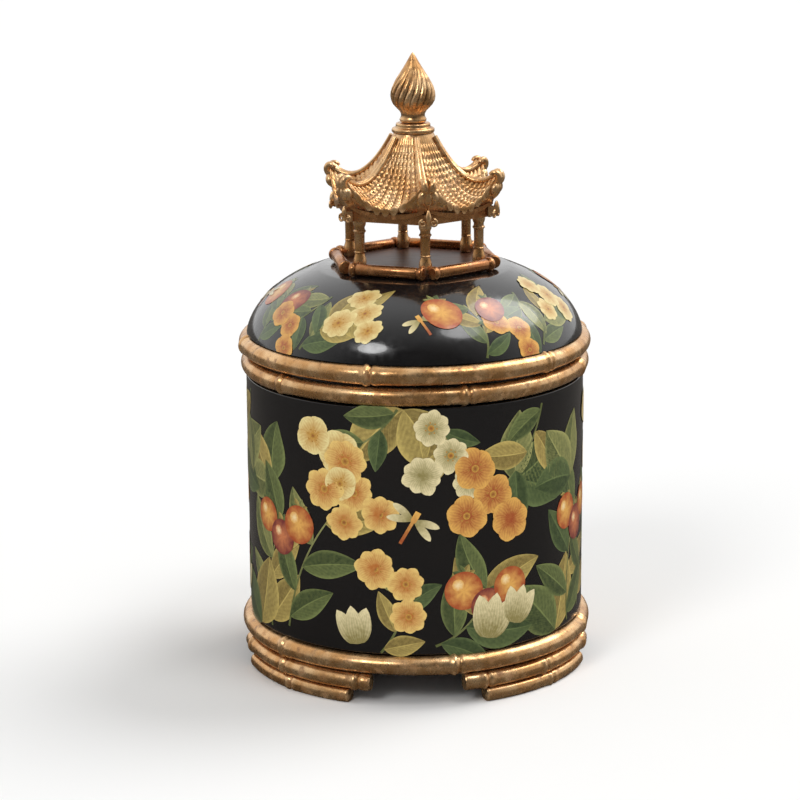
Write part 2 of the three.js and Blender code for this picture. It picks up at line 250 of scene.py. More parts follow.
@dataclass(frozen=True)
class LacquerFinish:
    """Deep black lacquer under a clear, faintly crackled coat."""

    name: str = "black_lacquer"
    black: Colour = (0.0045, 0.005, 0.006, 1)
    warm: Colour = (0.011, 0.009, 0.008, 1)

    def material(self) -> bpy.types.Material:
        """Builds the material.

        Returns:
            The lacquer material.
        """
        sheet = NodeSheet(self.name)
        place = sheet.place()
        cloud = sheet.noise(30, 5, place)
        sheet.set(sheet.surface.inputs["Base Color"], sheet.mix(cloud, self.black, self.warm))
        haze = sheet.noise(260, 6, place)
        sheet.set(sheet.surface.inputs["Roughness"], sheet.ramp(haze, 0.35, 0.65, 0.12, 0.24))
        sheet.surface.inputs["Coat Weight"].default_value = 0.5
        sheet.surface.inputs["Coat Roughness"].default_value = 0.05
        crackle = sheet.nodes.new("ShaderNodeTexVoronoi")
        crackle.feature = "DISTANCE_TO_EDGE"
        crackle.inputs["Scale"].default_value = 240
        sheet.links.new(place, crackle.inputs["Vector"])
        lines = sheet.ramp(crackle.outputs["Distance"], 0, 0.05, 0, 1)
        sheet.bump(sheet.math("ADD", lines, cloud), 0.05, 0.1 * MM)
        return sheet.material


class Stroke(Enum):
    """How a painted motif is marked."""

    VEINED = "veined"
    STREAKED = "streaked"


@dataclass(frozen=True)
class PaintFinish:
    """Painted decoration under the lacquer's clear coat, from the motif's own two tints."""

    name: str
    stroke: Stroke

    def pattern(self, sheet: NodeSheet) -> bpy.types.NodeSocket:
        """How far a point lies from the motif's deep tint towards its light one.

        Args:
            sheet: the material that is being built.

        Returns:
            A value from 0, deep, to 1, light.
        """
        uv = sheet.nodes.new("ShaderNodeUVMap").outputs["UV"]
        split = sheet.nodes.new("ShaderNodeSeparateXYZ")
        sheet.links.new(uv, split.inputs[0])
        side = sheet.math("ABSOLUTE", sheet.math("SUBTRACT", split.outputs["X"], 0.5))
        along = split.outputs["Y"]
        brush = sheet.ramp(sheet.noise(520, 5, sheet.place()), 0.3, 0.7, -0.16, 0.16)
        if self.stroke is Stroke.STREAKED:
            streak = sheet.math("SINE", sheet.math("MULTIPLY", split.outputs["X"], 44))
            soft = sheet.math("MULTIPLY", streak, 0.1)
            return sheet.math("ADD", sheet.math("ADD", sheet.ramp(along, 0.1, 1.0, 0, 1), soft), brush)
        slant = sheet.math("SUBTRACT", sheet.math("MULTIPLY", along, 10), sheet.math("MULTIPLY", side, 7))
        wave = sheet.math("ABSOLUTE", sheet.math("SINE", sheet.math("MULTIPLY", slant, math.pi)))
        vein = sheet.ramp(wave, 0, 0.22, 0.75, 0)
        rib = sheet.ramp(side, 0.012, 0.035, 1, 0)
        half = sheet.ramp(split.outputs["X"], 0.48, 0.52, 0.12, 0.42)
        rim = sheet.ramp(side, 0.36, 0.5, 0, 0.45)
        shade = sheet.math("ADD", half, sheet.math("MULTIPLY", wave, 0.2))
        lines = sheet.math("MAXIMUM", vein, rib)
        return sheet.math("ADD", sheet.math("ADD", sheet.math("MAXIMUM", shade, lines), rim), brush)

    def material(self) -> bpy.types.Material:
        """Builds the material.

        Returns:
            The paint material.
        """
        sheet = NodeSheet(self.name)
        tints = []
        for name in ("deep", "light"):
            node = sheet.nodes.new("ShaderNodeAttribute")
            node.attribute_name = name
            tints.append(node.outputs["Color"])
        factor = sheet.ramp(self.pattern(sheet), 0, 1, 0, 1)
        sheet.set(sheet.surface.inputs["Base Color"], sheet.mix(factor, tints[0], tints[1]))
        sheet.surface.inputs["Roughness"].default_value = 0.32
        sheet.surface.inputs["Coat Weight"].default_value = 0.4
        sheet.surface.inputs["Coat Roughness"].default_value = 0.06
        return sheet.material


@dataclass(frozen=True)
class PlainFinish:
    """Stained wood or bare steel, with a fine grain."""

    name: str
    light: Colour
    dark: Colour
    roughness: float
    metallic: float = 0.0

    def material(self) -> bpy.types.Material:
        """Builds the material.

        Returns:
            The plain material.
        """
        sheet = NodeSheet(self.name)
        stretch = sheet.nodes.new("ShaderNodeMapping")
        stretch.inputs["Scale"].default_value = (1, 8, 8)
        sheet.links.new(sheet.place(), stretch.inputs["Vector"])
        grain = sheet.noise(60, 8, stretch.outputs["Vector"])
        sheet.set(sheet.surface.inputs["Base Color"], sheet.mix(grain, self.dark, self.light))
        sheet.surface.inputs["Metallic"].default_value = self.metallic
        low = self.roughness * 0.8
        sheet.set(sheet.surface.inputs["Roughness"], sheet.ramp(grain, 0.3, 0.7, low, self.roughness))
        sheet.bump(grain, 0.2, 0.2 * MM)
        return sheet.material


@dataclass
class Finishes:
    """The built materials."""

    gilt: bpy.types.Material = field(default_factory=lambda: GiltFinish().material())
    # A darker, redder copy of the gilt, as painted shade on the valances, entablature and rails under the
    # roof.
    shaded_red_gilt: bpy.types.Material = field(
        default_factory=lambda: GiltFinish(
            "red_gilt_with_painted_shade", (0.36, 0.13, 0.045, 1), (0.6, 0.3, 0.12, 1), (0.12, 0.035, 0.01, 1)
        ).material()
    )
    lacquer: bpy.types.Material = field(default_factory=lambda: LacquerFinish().material())
    leaf_paint: bpy.types.Material = field(
        default_factory=lambda: PaintFinish("leaf_paint", Stroke.VEINED).material()
    )
    petal_paint: bpy.types.Material = field(
        default_factory=lambda: PaintFinish("petal_paint", Stroke.STREAKED).material()
    )
    dark_wood: bpy.types.Material = field(
        default_factory=lambda: PlainFinish(
            "dark_wood", (0.13, 0.045, 0.02, 1), (0.035, 0.012, 0.007, 1), 0.45
        ).material()
    )
    steel: bpy.types.Material = field(
        default_factory=lambda: PlainFinish(
            "bare_steel", (0.6, 0.6, 0.58, 1), (0.42, 0.42, 0.41, 1), 0.4, 1.0
        ).material()
    )

    def of(self, slot: Slot) -> bpy.types.Material:
        """The material of a slot.

        Args:
            slot: the slot.

        Returns:
            Its material.
        """
        table = {
            Slot.LACQUER: self.lacquer,
            Slot.GILT: self.gilt,
            Slot.DARK_WOOD: self.dark_wood,
            Slot.STEEL: self.steel,
        }
        return table[slot]


def finish_piece(
    piece: bpy.types.Object,
    material: bpy.types.Material,
    body: Body,
    slot: Slot,
    nodes: list[str],
    angle: float = 40,
) -> bpy.types.Object:
    """Smooths a piece, gives it its material and puts it on its body.

    Args:
        piece: the object, with its place in its mesh.
        material: its finish.
        body: what it rides on.
        slot: the record's slot it belongs to; not used.
        nodes: the frame's nodes that it stands for.
        angle: edges sharper than this stay sharp, in degrees.

    Returns:
        The same object.
    """
    piece.data.materials.clear()
    piece.data.materials.append(material)
    bpy.ops.object.select_all(action="DESELECT")
    piece.select_set(True)
    bpy.context.view_layer.objects.active = piece
    bpy.ops.object.shade_smooth_by_angle(angle=math.radians(angle))
    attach(piece, body.value)
    if nodes:
        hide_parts(*nodes)
    LOG.info("%s: %d faces", piece.name, len(piece.data.polygons))
    return piece


def mesh_piece(name: str, points: list[Vector], faces: list[Face]) -> bpy.types.Object:
    """A closed mesh object with its faces turned outwards.

    Args:
        name: the piece's name.
        points: its points, in metres.
        faces: its faces, by point number.

    Returns:
        The object.
    """
    mesh = bpy.data.meshes.new(name)
    mesh.from_pydata([tuple(point) for point in points], [], faces)
    shape = bmesh.new()
    shape.from_mesh(mesh)
    bmesh.ops.remove_doubles(shape, verts=shape.verts, dist=1e-7)
    bmesh.ops.recalc_face_normals(shape, faces=shape.faces)
    shape.to_mesh(mesh)
    shape.free()
    piece = bpy.data.objects.new(name, mesh)
    bpy.context.collection.objects.link(piece)
    return piece


def turned(name: str, outline: Outline, steps: int, closed: bool = False) -> bpy.types.Object:
    """Extrudes a vertex along an outline, spins it about Z and closes its seam.

    Args:
        name: the piece's name.
        outline: radius and height pairs in millimetres.
        steps: how many steps the spin takes.
        closed: whether the outline closes on itself, as a ring's does.

    Returns:
        The turned object.
    """
    points = outline + outline[:1] if closed else outline
    bpy.ops.object.select_all(action="DESELECT")
    bpy.ops.mesh.primitive_circle_add(vertices=3, radius=MM)
    piece = bpy.context.object
    piece.name = name
    piece.data.name = name
    bpy.ops.object.mode_set(mode="EDIT")
    shape = bmesh.from_edit_mesh(piece.data)
    bmesh.ops.delete(shape, geom=list(shape.verts)[1:], context="VERTS")
    shape.verts.ensure_lookup_table()
    shape.verts[0].co = Vector((points[0][0], 0, points[0][1])) * MM
    shape.verts[0].select = True
    bmesh.update_edit_mesh(piece.data)
    for here, there in zip(points, points[1:]):
        step = ((there[0] - here[0]) * MM, 0, (there[1] - here[1]) * MM)
        bpy.ops.mesh.extrude_region_move(TRANSFORM_OT_translate={"value": step})
    bpy.ops.mesh.select_all(action="SELECT")
    bpy.ops.mesh.spin(steps=steps, angle=2 * math.pi, center=(0, 0, 0), axis=(0, 0, 1))
    bpy.ops.mesh.select_all(action="SELECT")
    bpy.ops.mesh.remove_doubles(threshold=1e-6)
    bpy.ops.mesh.normals_make_consistent(inside=False)
    bpy.ops.object.mode_set(mode="OBJECT")
    return piece


def rounded(outline: Outline, radius: float, steps: int = 4) -> Outline:
    """An outline with each corner eased by a small arc-like curve.

    Args:
        outline: a closed outline, in millimetres.
        radius: how far from a corner the curve starts.
        steps: steps along each curve.

    Returns:
        The eased outline.
    """
    eased: Outline = []
    count = len(outline)
    for index, (x, y) in enumerate(outline):
        before, after = outline[index - 1], outline[(index + 1) % count]
        sides = [math.dist((x, y), before), math.dist((x, y), after)]
        reach = min(radius, *(side * 0.45 for side in sides))
        start = tuple(c + (p - c) * reach / sides[0] for c, p in zip((x, y), before))
        end = tuple(c + (p - c) * reach / sides[1] for c, p in zip((x, y), after))
        for step in range(steps + 1):
            t = step / steps
            eased.append(
                (
                    (1 - t) ** 2 * start[0] + 2 * t * (1 - t) * x + t * t * end[0],
                    (1 - t) ** 2 * start[1] + 2 * t * (1 - t) * y + t * t * end[1],
                )
            )
    return eased


def tube(
    path: list[Vector], radius: Callable[[float], float], sides: int, up: Vector = UPRIGHT
) -> Form:
    """Points and faces of a closed tube along a path.

    Args:
        path: the points that it follows.
        radius: its radius in metres at a share of its length.
        sides: points round the tube.
        up: a direction that the path never follows.

    Returns:
        Its points and faces.
    """
    points: list[Vector] = []
    last = len(path) - 1
    for index, here in enumerate(path):
        ahead = path[min(index + 1, last)] - path[max(index - 1, 0)]
        side = ahead.cross(up).normalized()
        over = side.cross(ahead).normalized()
        size = radius(index / last)
        for turn in range(sides):
            angle = 2 * math.pi * turn / sides
            points.append(here + side * math.cos(angle) * size + over * math.sin(angle) * size)
    faces: list[Face] = []
    for index in range(last):
        for turn in range(sides):
            a, b = index * sides + turn, index * sides + (turn + 1) % sides
            faces.append((a, b, b + sides, a + sides))
    faces.append(tuple(range(sides))[::-1])
    faces.append(tuple(range(last * sides, (last + 1) * sides)))
    return points, faces


def joined(parts: list[Form]) -> Form:
    """Several shapes as one list of points and one of faces.

    Args:
        parts: the shapes to join.

    Returns:
        The joined shape.
    """
    points: list[Vector] = []
    faces: list[Face] = []
    for part_points, part_faces in parts:
        start = len(points)
        points.extend(part_points)
        faces.extend(tuple(start + index for index in face) for face in part_faces)
    return points, faces


@dataclass
class BambooCane:
    """A gilt cane bent round the jar, with a ridge and a crease at each of its nodes."""

    name: str
    body: Body
    radius: float
    height: float
    cane: float
    joints: list[float]
    nodes: list[str]
    span: tuple[float, float] = (0.0, 360.0)
    bottom: float = -1000.0
    top: float = 1000.0
    inner: float = 0.0
    sides: int = 24
    skin: float = 0.9
    drift: float = 0.12
    end_ease: float = 0.45
    ridge: float = 1.0
    ridge_width: float = 1.7
    shoulder: float = 0.4
    shoulder_place: float = 4.6
    shoulder_width: float = 2.4
    crease: float = 0.6
    crease_place: float = 2.5
    crease_width: float = 0.8
    steps_round: int = 900
    steps_per_degree: float = 2.5

    def swell(self, angle: float) -> float:
        """How much thicker the cane is at an angle, in millimetres.

        Args:
            angle: the angle round the jar.

        Returns:
            The extra radius.
        """
        total = 0.0
        for joint in self.joints:
            gap = (angle - joint + 180) % 360 - 180
            reach = math.radians(gap) * self.radius
            total += self.ridge * math.exp(-((reach / self.ridge_width) ** 2))
            total += self.shoulder * math.exp(-(((reach - self.shoulder_place) / self.shoulder_width) ** 2))
            total -= self.crease * math.exp(-(((reach - self.crease_place) / self.crease_width) ** 2))
        return total

    def section(self, angle: float, size: float) -> list[Vector]:
        """The cane's outline at an angle.

        Args:
            angle: the angle round the jar.
            size: the cane's radius there.

        Returns:
            Its points, in metres.
        """
        points = []
        thickness = size + self.drift * math.sin(math.radians(angle * 7 + self.height))
        for index in range(self.sides):
            turn = 2 * math.pi * index / self.sides
            radius = self.radius + thickness * math.cos(turn)
            height = self.height + thickness * math.sin(turn)
            points.append(around(angle, max(radius, self.inner), min(max(height, self.bottom), self.top)))
        return points

    def build(self, material: bpy.types.Material) -> bpy.types.Object:
        """Builds the cane and puts it in place.

        Args:
            material: its finish.

        Returns:
            The cane's object.
        """
        first, last = self.span
        whole = last - first >= 360
        steps = self.steps_round if whole else int((last - first) * self.steps_per_degree)
        points: list[Vector] = []
        rings = steps if whole else steps + 1
        for step in range(rings):
            angle = first + (last - first) * step / steps
            size = self.cane - self.skin + self.swell(angle)
            if not whole and step in (0, steps):
                size -= self.end_ease
            points.extend(self.section(angle, size))
        faces: list[Face] = []
        for ring in range(rings if whole else rings - 1):
            after = (ring + 1) % rings
            for side in range(self.sides):
                ahead = (side + 1) % self.sides
                start, end = ring * self.sides, after * self.sides
                faces.append((start + side, start + ahead, end + ahead, end + side))
        if not whole:
            faces.append(tuple(range(self.sides)))
            faces.append(tuple(range((rings - 1) * self.sides, rings * self.sides)))
        piece = mesh_piece(self.name, points, faces)
        return finish_piece(piece, material, self.body, Slot.GILT, self.nodes, 50)


@dataclass
class DomeShape:
    """The lid's outline, shared by the dome and the decoration on it."""

    radius: float = 96.0
    rise: float = 49.3
    fullness: float = 2.3
    spring: float = 186.0
    first: float = 192.0
    land: float = 228.2

    def curve(self, steps: int = 60) -> Outline:
        """Radius and height pairs from over the gilt ring to the flat land.

        Args:
            steps: steps along it.

        Returns:
            The outline, in millimetres.
        """
        start = math.asin((self.first - self.spring) / self.rise)
        end = math.asin((self.land - self.spring) / self.rise)
        outline = []
        for step in range(steps + 1):
            turn = start + (end - start) * step / steps
            size = self.radius * math.cos(turn) ** (2 / self.fullness)
            outline.append((size, self.spring + self.rise * math.sin(turn)))
        return outline


class Canvas:
    """A lacquered surface that decoration is laid on."""

    body = Body.JAR

    def place(self, angle: float, height: float, across: float, up: float, lift: float) -> Vector:
        """A point near an anchor.

        Args:
            angle: the anchor's angle.
            height: the anchor's height, or its distance up the slope.
            across: millimetres to the right of it.
            up: millimetres above it.
            lift: millimetres off the surface.

        Returns:
            The point, in metres.
        """
        raise NotImplementedError


@dataclass
class WallCanvas(Canvas):
    """The jar's upright wall."""

    radius: float = 96.0
    lowest: float = 28.0
    highest: float = 169.5

    def place(self, angle: float, height: float, across: float, up: float, lift: float) -> Vector:
        """A point near an anchor, clear of the gilt rings."""
        level = min(max(height + up, self.lowest), self.highest)
        return around(angle + math.degrees(across / self.radius), self.radius + lift, level)


class DomeCanvas(Canvas):
    """The lid's domed top, measured up its slope."""

    body = Body.LID

    def __init__(self, shape: DomeShape) -> None:
        """Measures the slope.

        Args:
            shape: the dome's outline.
        """
        self.outline = shape.curve(90)
        self.reach = [0.0]
        for here, there in zip(self.outline, self.outline[1:]):
            self.reach.append(self.reach[-1] + math.dist(here, there))

    def place(self, angle: float, height: float, across: float, up: float, lift: float) -> Vector:
        """A point near an anchor, on the slope.

        Args:
            angle: the anchor's angle.
            height: the anchor's distance up the slope.
            across: millimetres to the right of it.
            up: millimetres further up the slope.
            lift: millimetres off the surface.

        Returns:
            The point, in metres.
        """
        slope = min(max(height + up, 0.01), self.reach[-1] - 0.01)
        index = next(i for i, reach in enumerate(self.reach) if reach > slope) - 1
        share = (slope - self.reach[index]) / (self.reach[index + 1] - self.reach[index])
        (r0, z0), (r1, z1) = self.outline[index], self.outline[index + 1]
        radius, level = r0 + (r1 - r0) * share, z0 + (z1 - z0) * share
        length = math.hypot(r1 - r0, z1 - z0)
        out, over = (z1 - z0) / length, (r0 - r1) / length
        turn = angle + math.degrees(across / radius)
        return around(turn, radius + out * lift, level + over * lift)


@dataclass(frozen=True)
class Tint:
    """A motif's deep and light paint."""

    deep: Colour
    light: Colour


LEAF_TINTS = [
    Tint((0.012, 0.028, 0.008, 1), (0.20, 0.24, 0.07, 1)),
    Tint((0.03, 0.055, 0.012, 1), (0.38, 0.37, 0.12, 1)),
    Tint((0.015, 0.034, 0.010, 1), (0.14, 0.19, 0.06, 1)),
    Tint((0.13, 0.085, 0.015, 1), (0.58, 0.44, 0.12, 1)),
]
PETAL_TINTS = [
    Tint((0.50, 0.15, 0.02, 1), (0.85, 0.60, 0.18, 1)),
    Tint((0.38, 0.07, 0.012, 1), (0.80, 0.44, 0.09, 1)),
    Tint((0.55, 0.27, 0.04, 1), (0.86, 0.72, 0.32, 1)),
]
CREAM = Tint((0.28, 0.23, 0.07, 1), (0.86, 0.74, 0.42, 1))
FRUIT_TINTS = [
    Tint((0.80, 0.42, 0.09, 1), (0.42, 0.075, 0.015, 1)),
    Tint((0.62, 0.20, 0.07, 1), (0.20, 0.03, 0.025, 1)),
]
STAMEN = Tint((0.30, 0.09, 0.015, 1), (0.62, 0.34, 0.05, 1))
STEM = Tint((0.10, 0.12, 0.03, 1), (0.34, 0.33, 0.12, 1))


class DecorationSheet:
    """One mesh of painted motifs, a hair above the lacquer."""

    def __init__(self, name: str, canvas: Canvas) -> None:
        """Starts an empty sheet.

        Args:
            name: the sheet's name.
            canvas: the surface that it lies on.
        """
        self.name = name
        self.canvas = canvas
        self.points: list[Vector] = []
        self.faces: list[Face] = []
        self.uvs: list[tuple[float, float]] = []
        self.tints: list[Tint] = []

    def grid(self, rows: list[list[Vector]], tint: Tint) -> None:
        """Adds a grid of points, whose rows run from left to right.

        Args:
            rows: the points, row by row.
            tint: the motif's paint.
        """
        start = len(self.points)
        height, width = len(rows) - 1, len(rows[0]) - 1
        for j, row in enumerate(rows):
            for i, point in enumerate(row):
                self.points.append(point)
                self.uvs.append((i / width, j / height))
                self.tints.append(tint)
        for j in range(height):
            for i in range(width):
                a = start + j * (width + 1) + i
                self.faces.append((a, a + 1, a + width + 2, a + width + 1))

    def build(self, material: bpy.types.Material) -> None:
        """Makes the sheet's object.

        Args:
            material: its finish.
        """
        mesh = bpy.data.meshes.new(self.name)
        mesh.from_pydata([tuple(point) for point in self.points], [], self.faces)
        layer = mesh.uv_layers.new(name="UVMap")
        for loop in mesh.loops:
            layer.data[loop.index].uv = self.uvs[loop.vertex_index]
        for name in ("deep", "light"):
            paint = mesh.color_attributes.new(name=name, type="FLOAT_COLOR", domain="POINT")
            for index, tint in enumerate(self.tints):
                paint.data[index].color = getattr(tint, name)
        piece = bpy.data.objects.new(self.name, mesh)
        bpy.context.collection.objects.link(piece)
        finish_piece(piece, material, self.canvas.body, Slot.LACQUER, [], 60)


@dataclass
class Painter:
    """Lays leaves, blossoms, fruit and dragonflies on a canvas, in sprays."""

    canvas: Canvas
    name: str
    seed: int
    low: float = 0.0
    high: float = 0.0
    leaf_level: float = 0.04
    leaf_step: float = 0.004
    leaf_band: float = 0.12
    bloom_level: float = 0.18
    bloom_step: float = 0.0035
    bloom_band: float = 0.3
    stamen_gap: float = 0.015

    def __post_init__(self) -> None:
        """Starts the two sheets and the seeded random numbers."""
        self.leaves = DecorationSheet(f"{self.name}_leaves", self.canvas)
        self.petals = DecorationSheet(f"{self.name}_blossoms", self.canvas)
        self.random = random.Random(self.seed)

    def layer(self, under: bool) -> float:
        """The next motif's lift: leaves and stems lie under blossoms and fruit.

        Args:
            under: whether the motif lies under the blossoms.

        Returns:
            The lift, in millimetres.
        """
        if under:
            self.low = (self.low + self.leaf_step) % self.leaf_band
            return self.leaf_level + self.low
        self.high = (self.high + self.bloom_step) % self.bloom_band
        return self.bloom_level + self.high

    def blade(
        self,
        sheet: DecorationSheet,
        anchor: Spot,
        offset: Spot,
        heading: float,
        length: float,
        width: Callable[[float], float],
        tint: Tint,
        bend: float = 0.0,
        rows: int = 18,
        columns: int = 10,
    ) -> None:
        """Adds a leaf, petal or wing.

        Args:
            sheet: what it is added to.
            anchor: the angle and height that it is measured from.
            offset: where its foot is, in millimetres from the anchor.
            heading: the way it points, in degrees from the right.
            length: its length in millimetres.
            width: its half width in millimetres at a share of its length.
            tint: its paint.
            bend: how far it curves to one side, in degrees.
            rows: steps along it.
            columns: steps across it.
        """
        lift = self.layer(sheet is self.leaves)
        x, y = offset
        grid = []
        for row in range(rows + 1):
            share = row / rows
            turn = math.radians(heading + bend * (share - 0.5))
            if row:
                x += math.cos(turn) * length / rows
                y += math.sin(turn) * length / rows
            half = width(share)
            line = []
            for column in range(columns + 1):
                side = (2 * column / columns - 1) * half
                across, up = x + math.sin(turn) * side, y - math.cos(turn) * side
                line.append(self.canvas.place(*anchor, across, up, lift))
            grid.append(line)
        sheet.grid(grid, tint)

    def leaf(
        self,
        anchor: Spot,
        offset: Spot,
        heading: float,
        length: float,
        breadth: float = 0.23,
    ) -> None:
        """A smooth-edged leaf with a fine point.

        Args:
            anchor: the angle and height that it is measured from.
            offset: where its middle or foot is, in millimetres from the anchor.
            heading: the way it points, in degrees from the right.
            length: its length in millimetres.
            breadth: its half width as a share of its length.
        """
        half = length * breadth * self.random.uniform(0.88, 1.12)

        def width(share: float) -> float:
            """The leaf's half width."""
            return 0.12 + half * math.sin(math.pi * share**0.85) ** 0.9

        bend = self.random.uniform(-34, 34)
        tint = self.random.choice(LEAF_TINTS)
        self.blade(self.leaves, anchor, offset, heading, length, width, tint, bend)

    def fan(self, anchor: Spot, heading: float, spread: float, count: int, length: float) -> None:
        """A fan of broad leaves from one point.

        Args:
            anchor: the angle and height of the fan's foot.
            heading: the way its middle points, in degrees from the right.
            spread: the angle between its outer leaves.
            count: how many leaves it has.
            length: the middle leaf's length in millimetres.
        """
        for index in range(count):
            lean = spread * (index / max(count - 1, 1) - 0.5)
            reach = length * (1 - 0.22 * abs(lean) / max(spread, 1)) * self.random.uniform(0.92, 1.05)
            self.leaf(anchor, (0, 0), heading + lean, reach, 0.3)

    def disc(self, anchor: Spot, offset: Spot, size: float, tint: Tint) -> None:
        """A round spot, its rows running out from its middle.

        Args:
            anchor: the angle and height that it is measured from.
            offset: where its middle or foot is, in millimetres from the anchor.
            size: its radius in millimetres.
            tint: its paint.
        """
        lift = self.layer(False)
        rows, columns = 6, 28
        grid = []
        for row in range(rows + 1):
            line = []
            for column in range(columns + 1):
                turn = 2 * math.pi * column / columns
                reach = size * (row / rows) if row else size * 0.001
                across = offset[0] + reach * math.cos(turn)
                up = offset[1] + reach * math.sin(turn)
                line.append(self.canvas.place(*anchor, across, up, lift))
            grid.append(line[::-1])
        self.petals.grid(grid, tint)

    def blossom(
        self, anchor: Spot, offset: Spot, size: float, petals: int, tint: Tint
    ) -> None:
        """An open flower seen from above, with a ring of stamens.

        Args:
            anchor: the angle and height that it is measured from.
            offset: where its middle or foot is, in millimetres from the anchor.
            size: its radius in millimetres.
            petals: how many petals it has.
            tint: its paint.
        """
        turn = self.random.uniform(0, 360)
        half = size * math.sin(math.pi / petals) * 0.95

        def width(share: float) -> float:
            """The petal's half width."""
            return 0.1 + half * math.sin(math.pi * share**1.5 * 0.985) ** 0.62

        for petal in range(petals):
            heading = turn + 360 * petal / petals + self.random.uniform(-4, 4)
            reach = size * self.random.uniform(0.9, 1.05)
            self.blade(self.petals, anchor, offset, heading, reach, width, tint, rows=10, columns=6)
        self.high += self.stamen_gap
        self.disc(anchor, offset, size * 0.17, STAMEN)
        for dot in range(7):
            angle = math.radians(turn + 360 * dot / 7)
            spot = (offset[0] + size * 0.3 * math.cos(angle), offset[1] + size * 0.3 * math.sin(angle))
            self.disc(anchor, spot, size * 0.045, STAMEN)

    def bud(self, anchor: Spot, offset: Spot, heading: float, size: float, tint: Tint) -> None:
        """A closed flower of three overlapping petals in a green cup.

        Args:
            anchor: the angle and height that it is measured from.
            offset: where its middle or foot is, in millimetres from the anchor.
            heading: the way it points, in degrees from the right.
            size: its length in millimetres.
            tint: its paint.
        """

        def width(share: float) -> float:
            """The petal's half width."""
            return 0.1 + size * 0.26 * math.sin(math.pi * share**0.75) ** 0.7

        for lean in (-24, 24, 0):
            self.blade(self.petals, anchor, offset, heading + lean, size, width, tint, rows=10, columns=6)
        for lean in (-30, 30):
            self.leaf(anchor, offset, heading + lean, size * 0.55)

    def fruit(self, anchor: Spot, offset: Spot, size: float, tint: Tint) -> None:
        """A round fruit with a soft highlight and a leafy crown.

        Args:
            anchor: the angle and height that it is measured from.
            offset: where its middle or foot is, in millimetres from the anchor.
            size: its radius in millimetres.
            tint: its paint.
        """
        self.disc(anchor, offset, size, tint)
        glow = Tint((0.95, 0.72, 0.38, 1), tint.deep)
        self.disc(anchor, (offset[0] - size * 0.3, offset[1] + size * 0.32), size * 0.3, glow)
        for heading in (20, 65, 115, 160):
            crown = (offset[0], offset[1] + size * 0.8)
            self.leaf(anchor, crown, heading, size * 0.62)

    def stem(self, anchor: Spot, curve: Callable[[float], Spot]) -> None:
        """A thin stalk along a curve.

        Args:
            anchor: the angle and height that it is measured from.
            curve: gives a point in millimetres from the anchor at a share of its length.
        """
        lift = self.layer(True)
        steps = 30
        grid = []
        for step in range(steps + 1):
            share = step / steps
            (x0, y0), (x1, y1) = curve(max(share - 0.02, 0)), curve(min(share + 0.02, 1))
            turn = math.atan2(y1 - y0, x1 - x0)
            x, y = curve(share)
            half = 0.75 - 0.4 * share
            line = []
            for side in (-half, 0, half):
                across, up = x + math.sin(turn) * side, y - math.cos(turn) * side
                line.append(self.canvas.place(*anchor, across, up, lift))
            grid.append(line)
        self.petals.grid(grid, STEM)

    def dragonfly(self, anchor: Spot, heading: float, size: float) -> None:
        """A dragonfly with two pairs of narrow wings.

        Args:
            anchor: the angle and height of its wings' root.
            heading: the way it flies, in degrees from the right.
            size: its length in millimetres.
        """

        def wing(share: float) -> float:
            """The wing's half width."""
            return 0.1 + size * 0.085 * math.sin(math.pi * share**1.3) ** 0.6

        def trunk(share: float) -> float:
            """The body's half width."""
            return 0.25 + size * (0.06 if share > 0.72 else 0.028)

        for side in (1, -1):
            for lean in (78, 112):
                turn = heading + side * lean
                self.blade(self.petals, anchor, (0, 0), turn, size * 0.62, wing, CREAM, side * 12)
        back = math.radians(heading)
        foot = (-math.cos(back) * size * 0.62, -math.sin(back) * size * 0.62)
        self.blade(self.petals, anchor, foot, heading, size * 0.85, trunk, PETAL_TINTS[1])

    def spray(
        self,
        start: Spot,
        end: Spot,
        bow: float,
        leaves: int,
        leaf_length: float,
        blossoms: int,
        fruits: int,
        tint: Tint,
        petals: int = 6,
        size: float = 15,
    ) -> None:
        """A curved stem with leaves on both sides, and blossoms or fruit at its head.

        Args:
            start: the angle and height of its foot.
            end: where its head is, in millimetres right of and above its foot.
            bow: how far its middle bows to the left, in millimetres.
            leaves: how many leaves it carries.
            leaf_length: their length in millimetres.
            blossoms: how many blossoms are at its head.
            fruits: how many fruit hang below them.
            tint: the blossoms' paint.
            petals: petals of each blossom.
            size: a blossom's radius in millimetres.
        """
        length = math.hypot(*end)
        middle = (end[0] / 2 - bow * end[1] / length, end[1] / 2 + bow * end[0] / length)

        def curve(share: float) -> Spot:
            """A point on the stem."""
            first, second = 2 * share * (1 - share), share * share
            return (first * middle[0] + second * end[0], first * middle[1] + second * end[1])

        self.stem(start, curve)
        for index in range(leaves):
            share = 0.06 + 0.84 * index / max(leaves - 1, 1)
            (x0, y0), (x1, y1) = curve(share), curve(min(share + 0.05, 1))
            heading = math.degrees(math.atan2(y1 - y0, x1 - x0))
            side = 1 if index % 2 else -1
            reach = leaf_length * self.random.uniform(0.8, 1.12)
            self.leaf(start, (x0, y0), heading + side * self.random.uniform(38, 58), reach)
        for index in range(fruits):
            turn = math.radians(200 + 140 * index / max(fruits - 1, 1))
            spot = (end[0] + 15 * math.cos(turn), end[1] + 15 * math.sin(turn))
            self.fruit(start, spot, self.random.uniform(8.5, 11), FRUIT_TINTS[index % 2])
        for index in range(blossoms):
            turn = 2 * math.pi * index / blossoms + 0.6
            ring = 0 if index == 0 else size * 1.45
            spot = (end[0] + ring * math.cos(turn), end[1] + ring * math.sin(turn))
            self.blossom(start, spot, size * self.random.uniform(0.78, 1.05), petals, tint)

    def build(self, finishes: Finishes) -> None:
        """Makes the two sheets."""
        self.leaves.build(finishes.leaf_paint)
        self.petals.build(finishes.petal_paint)


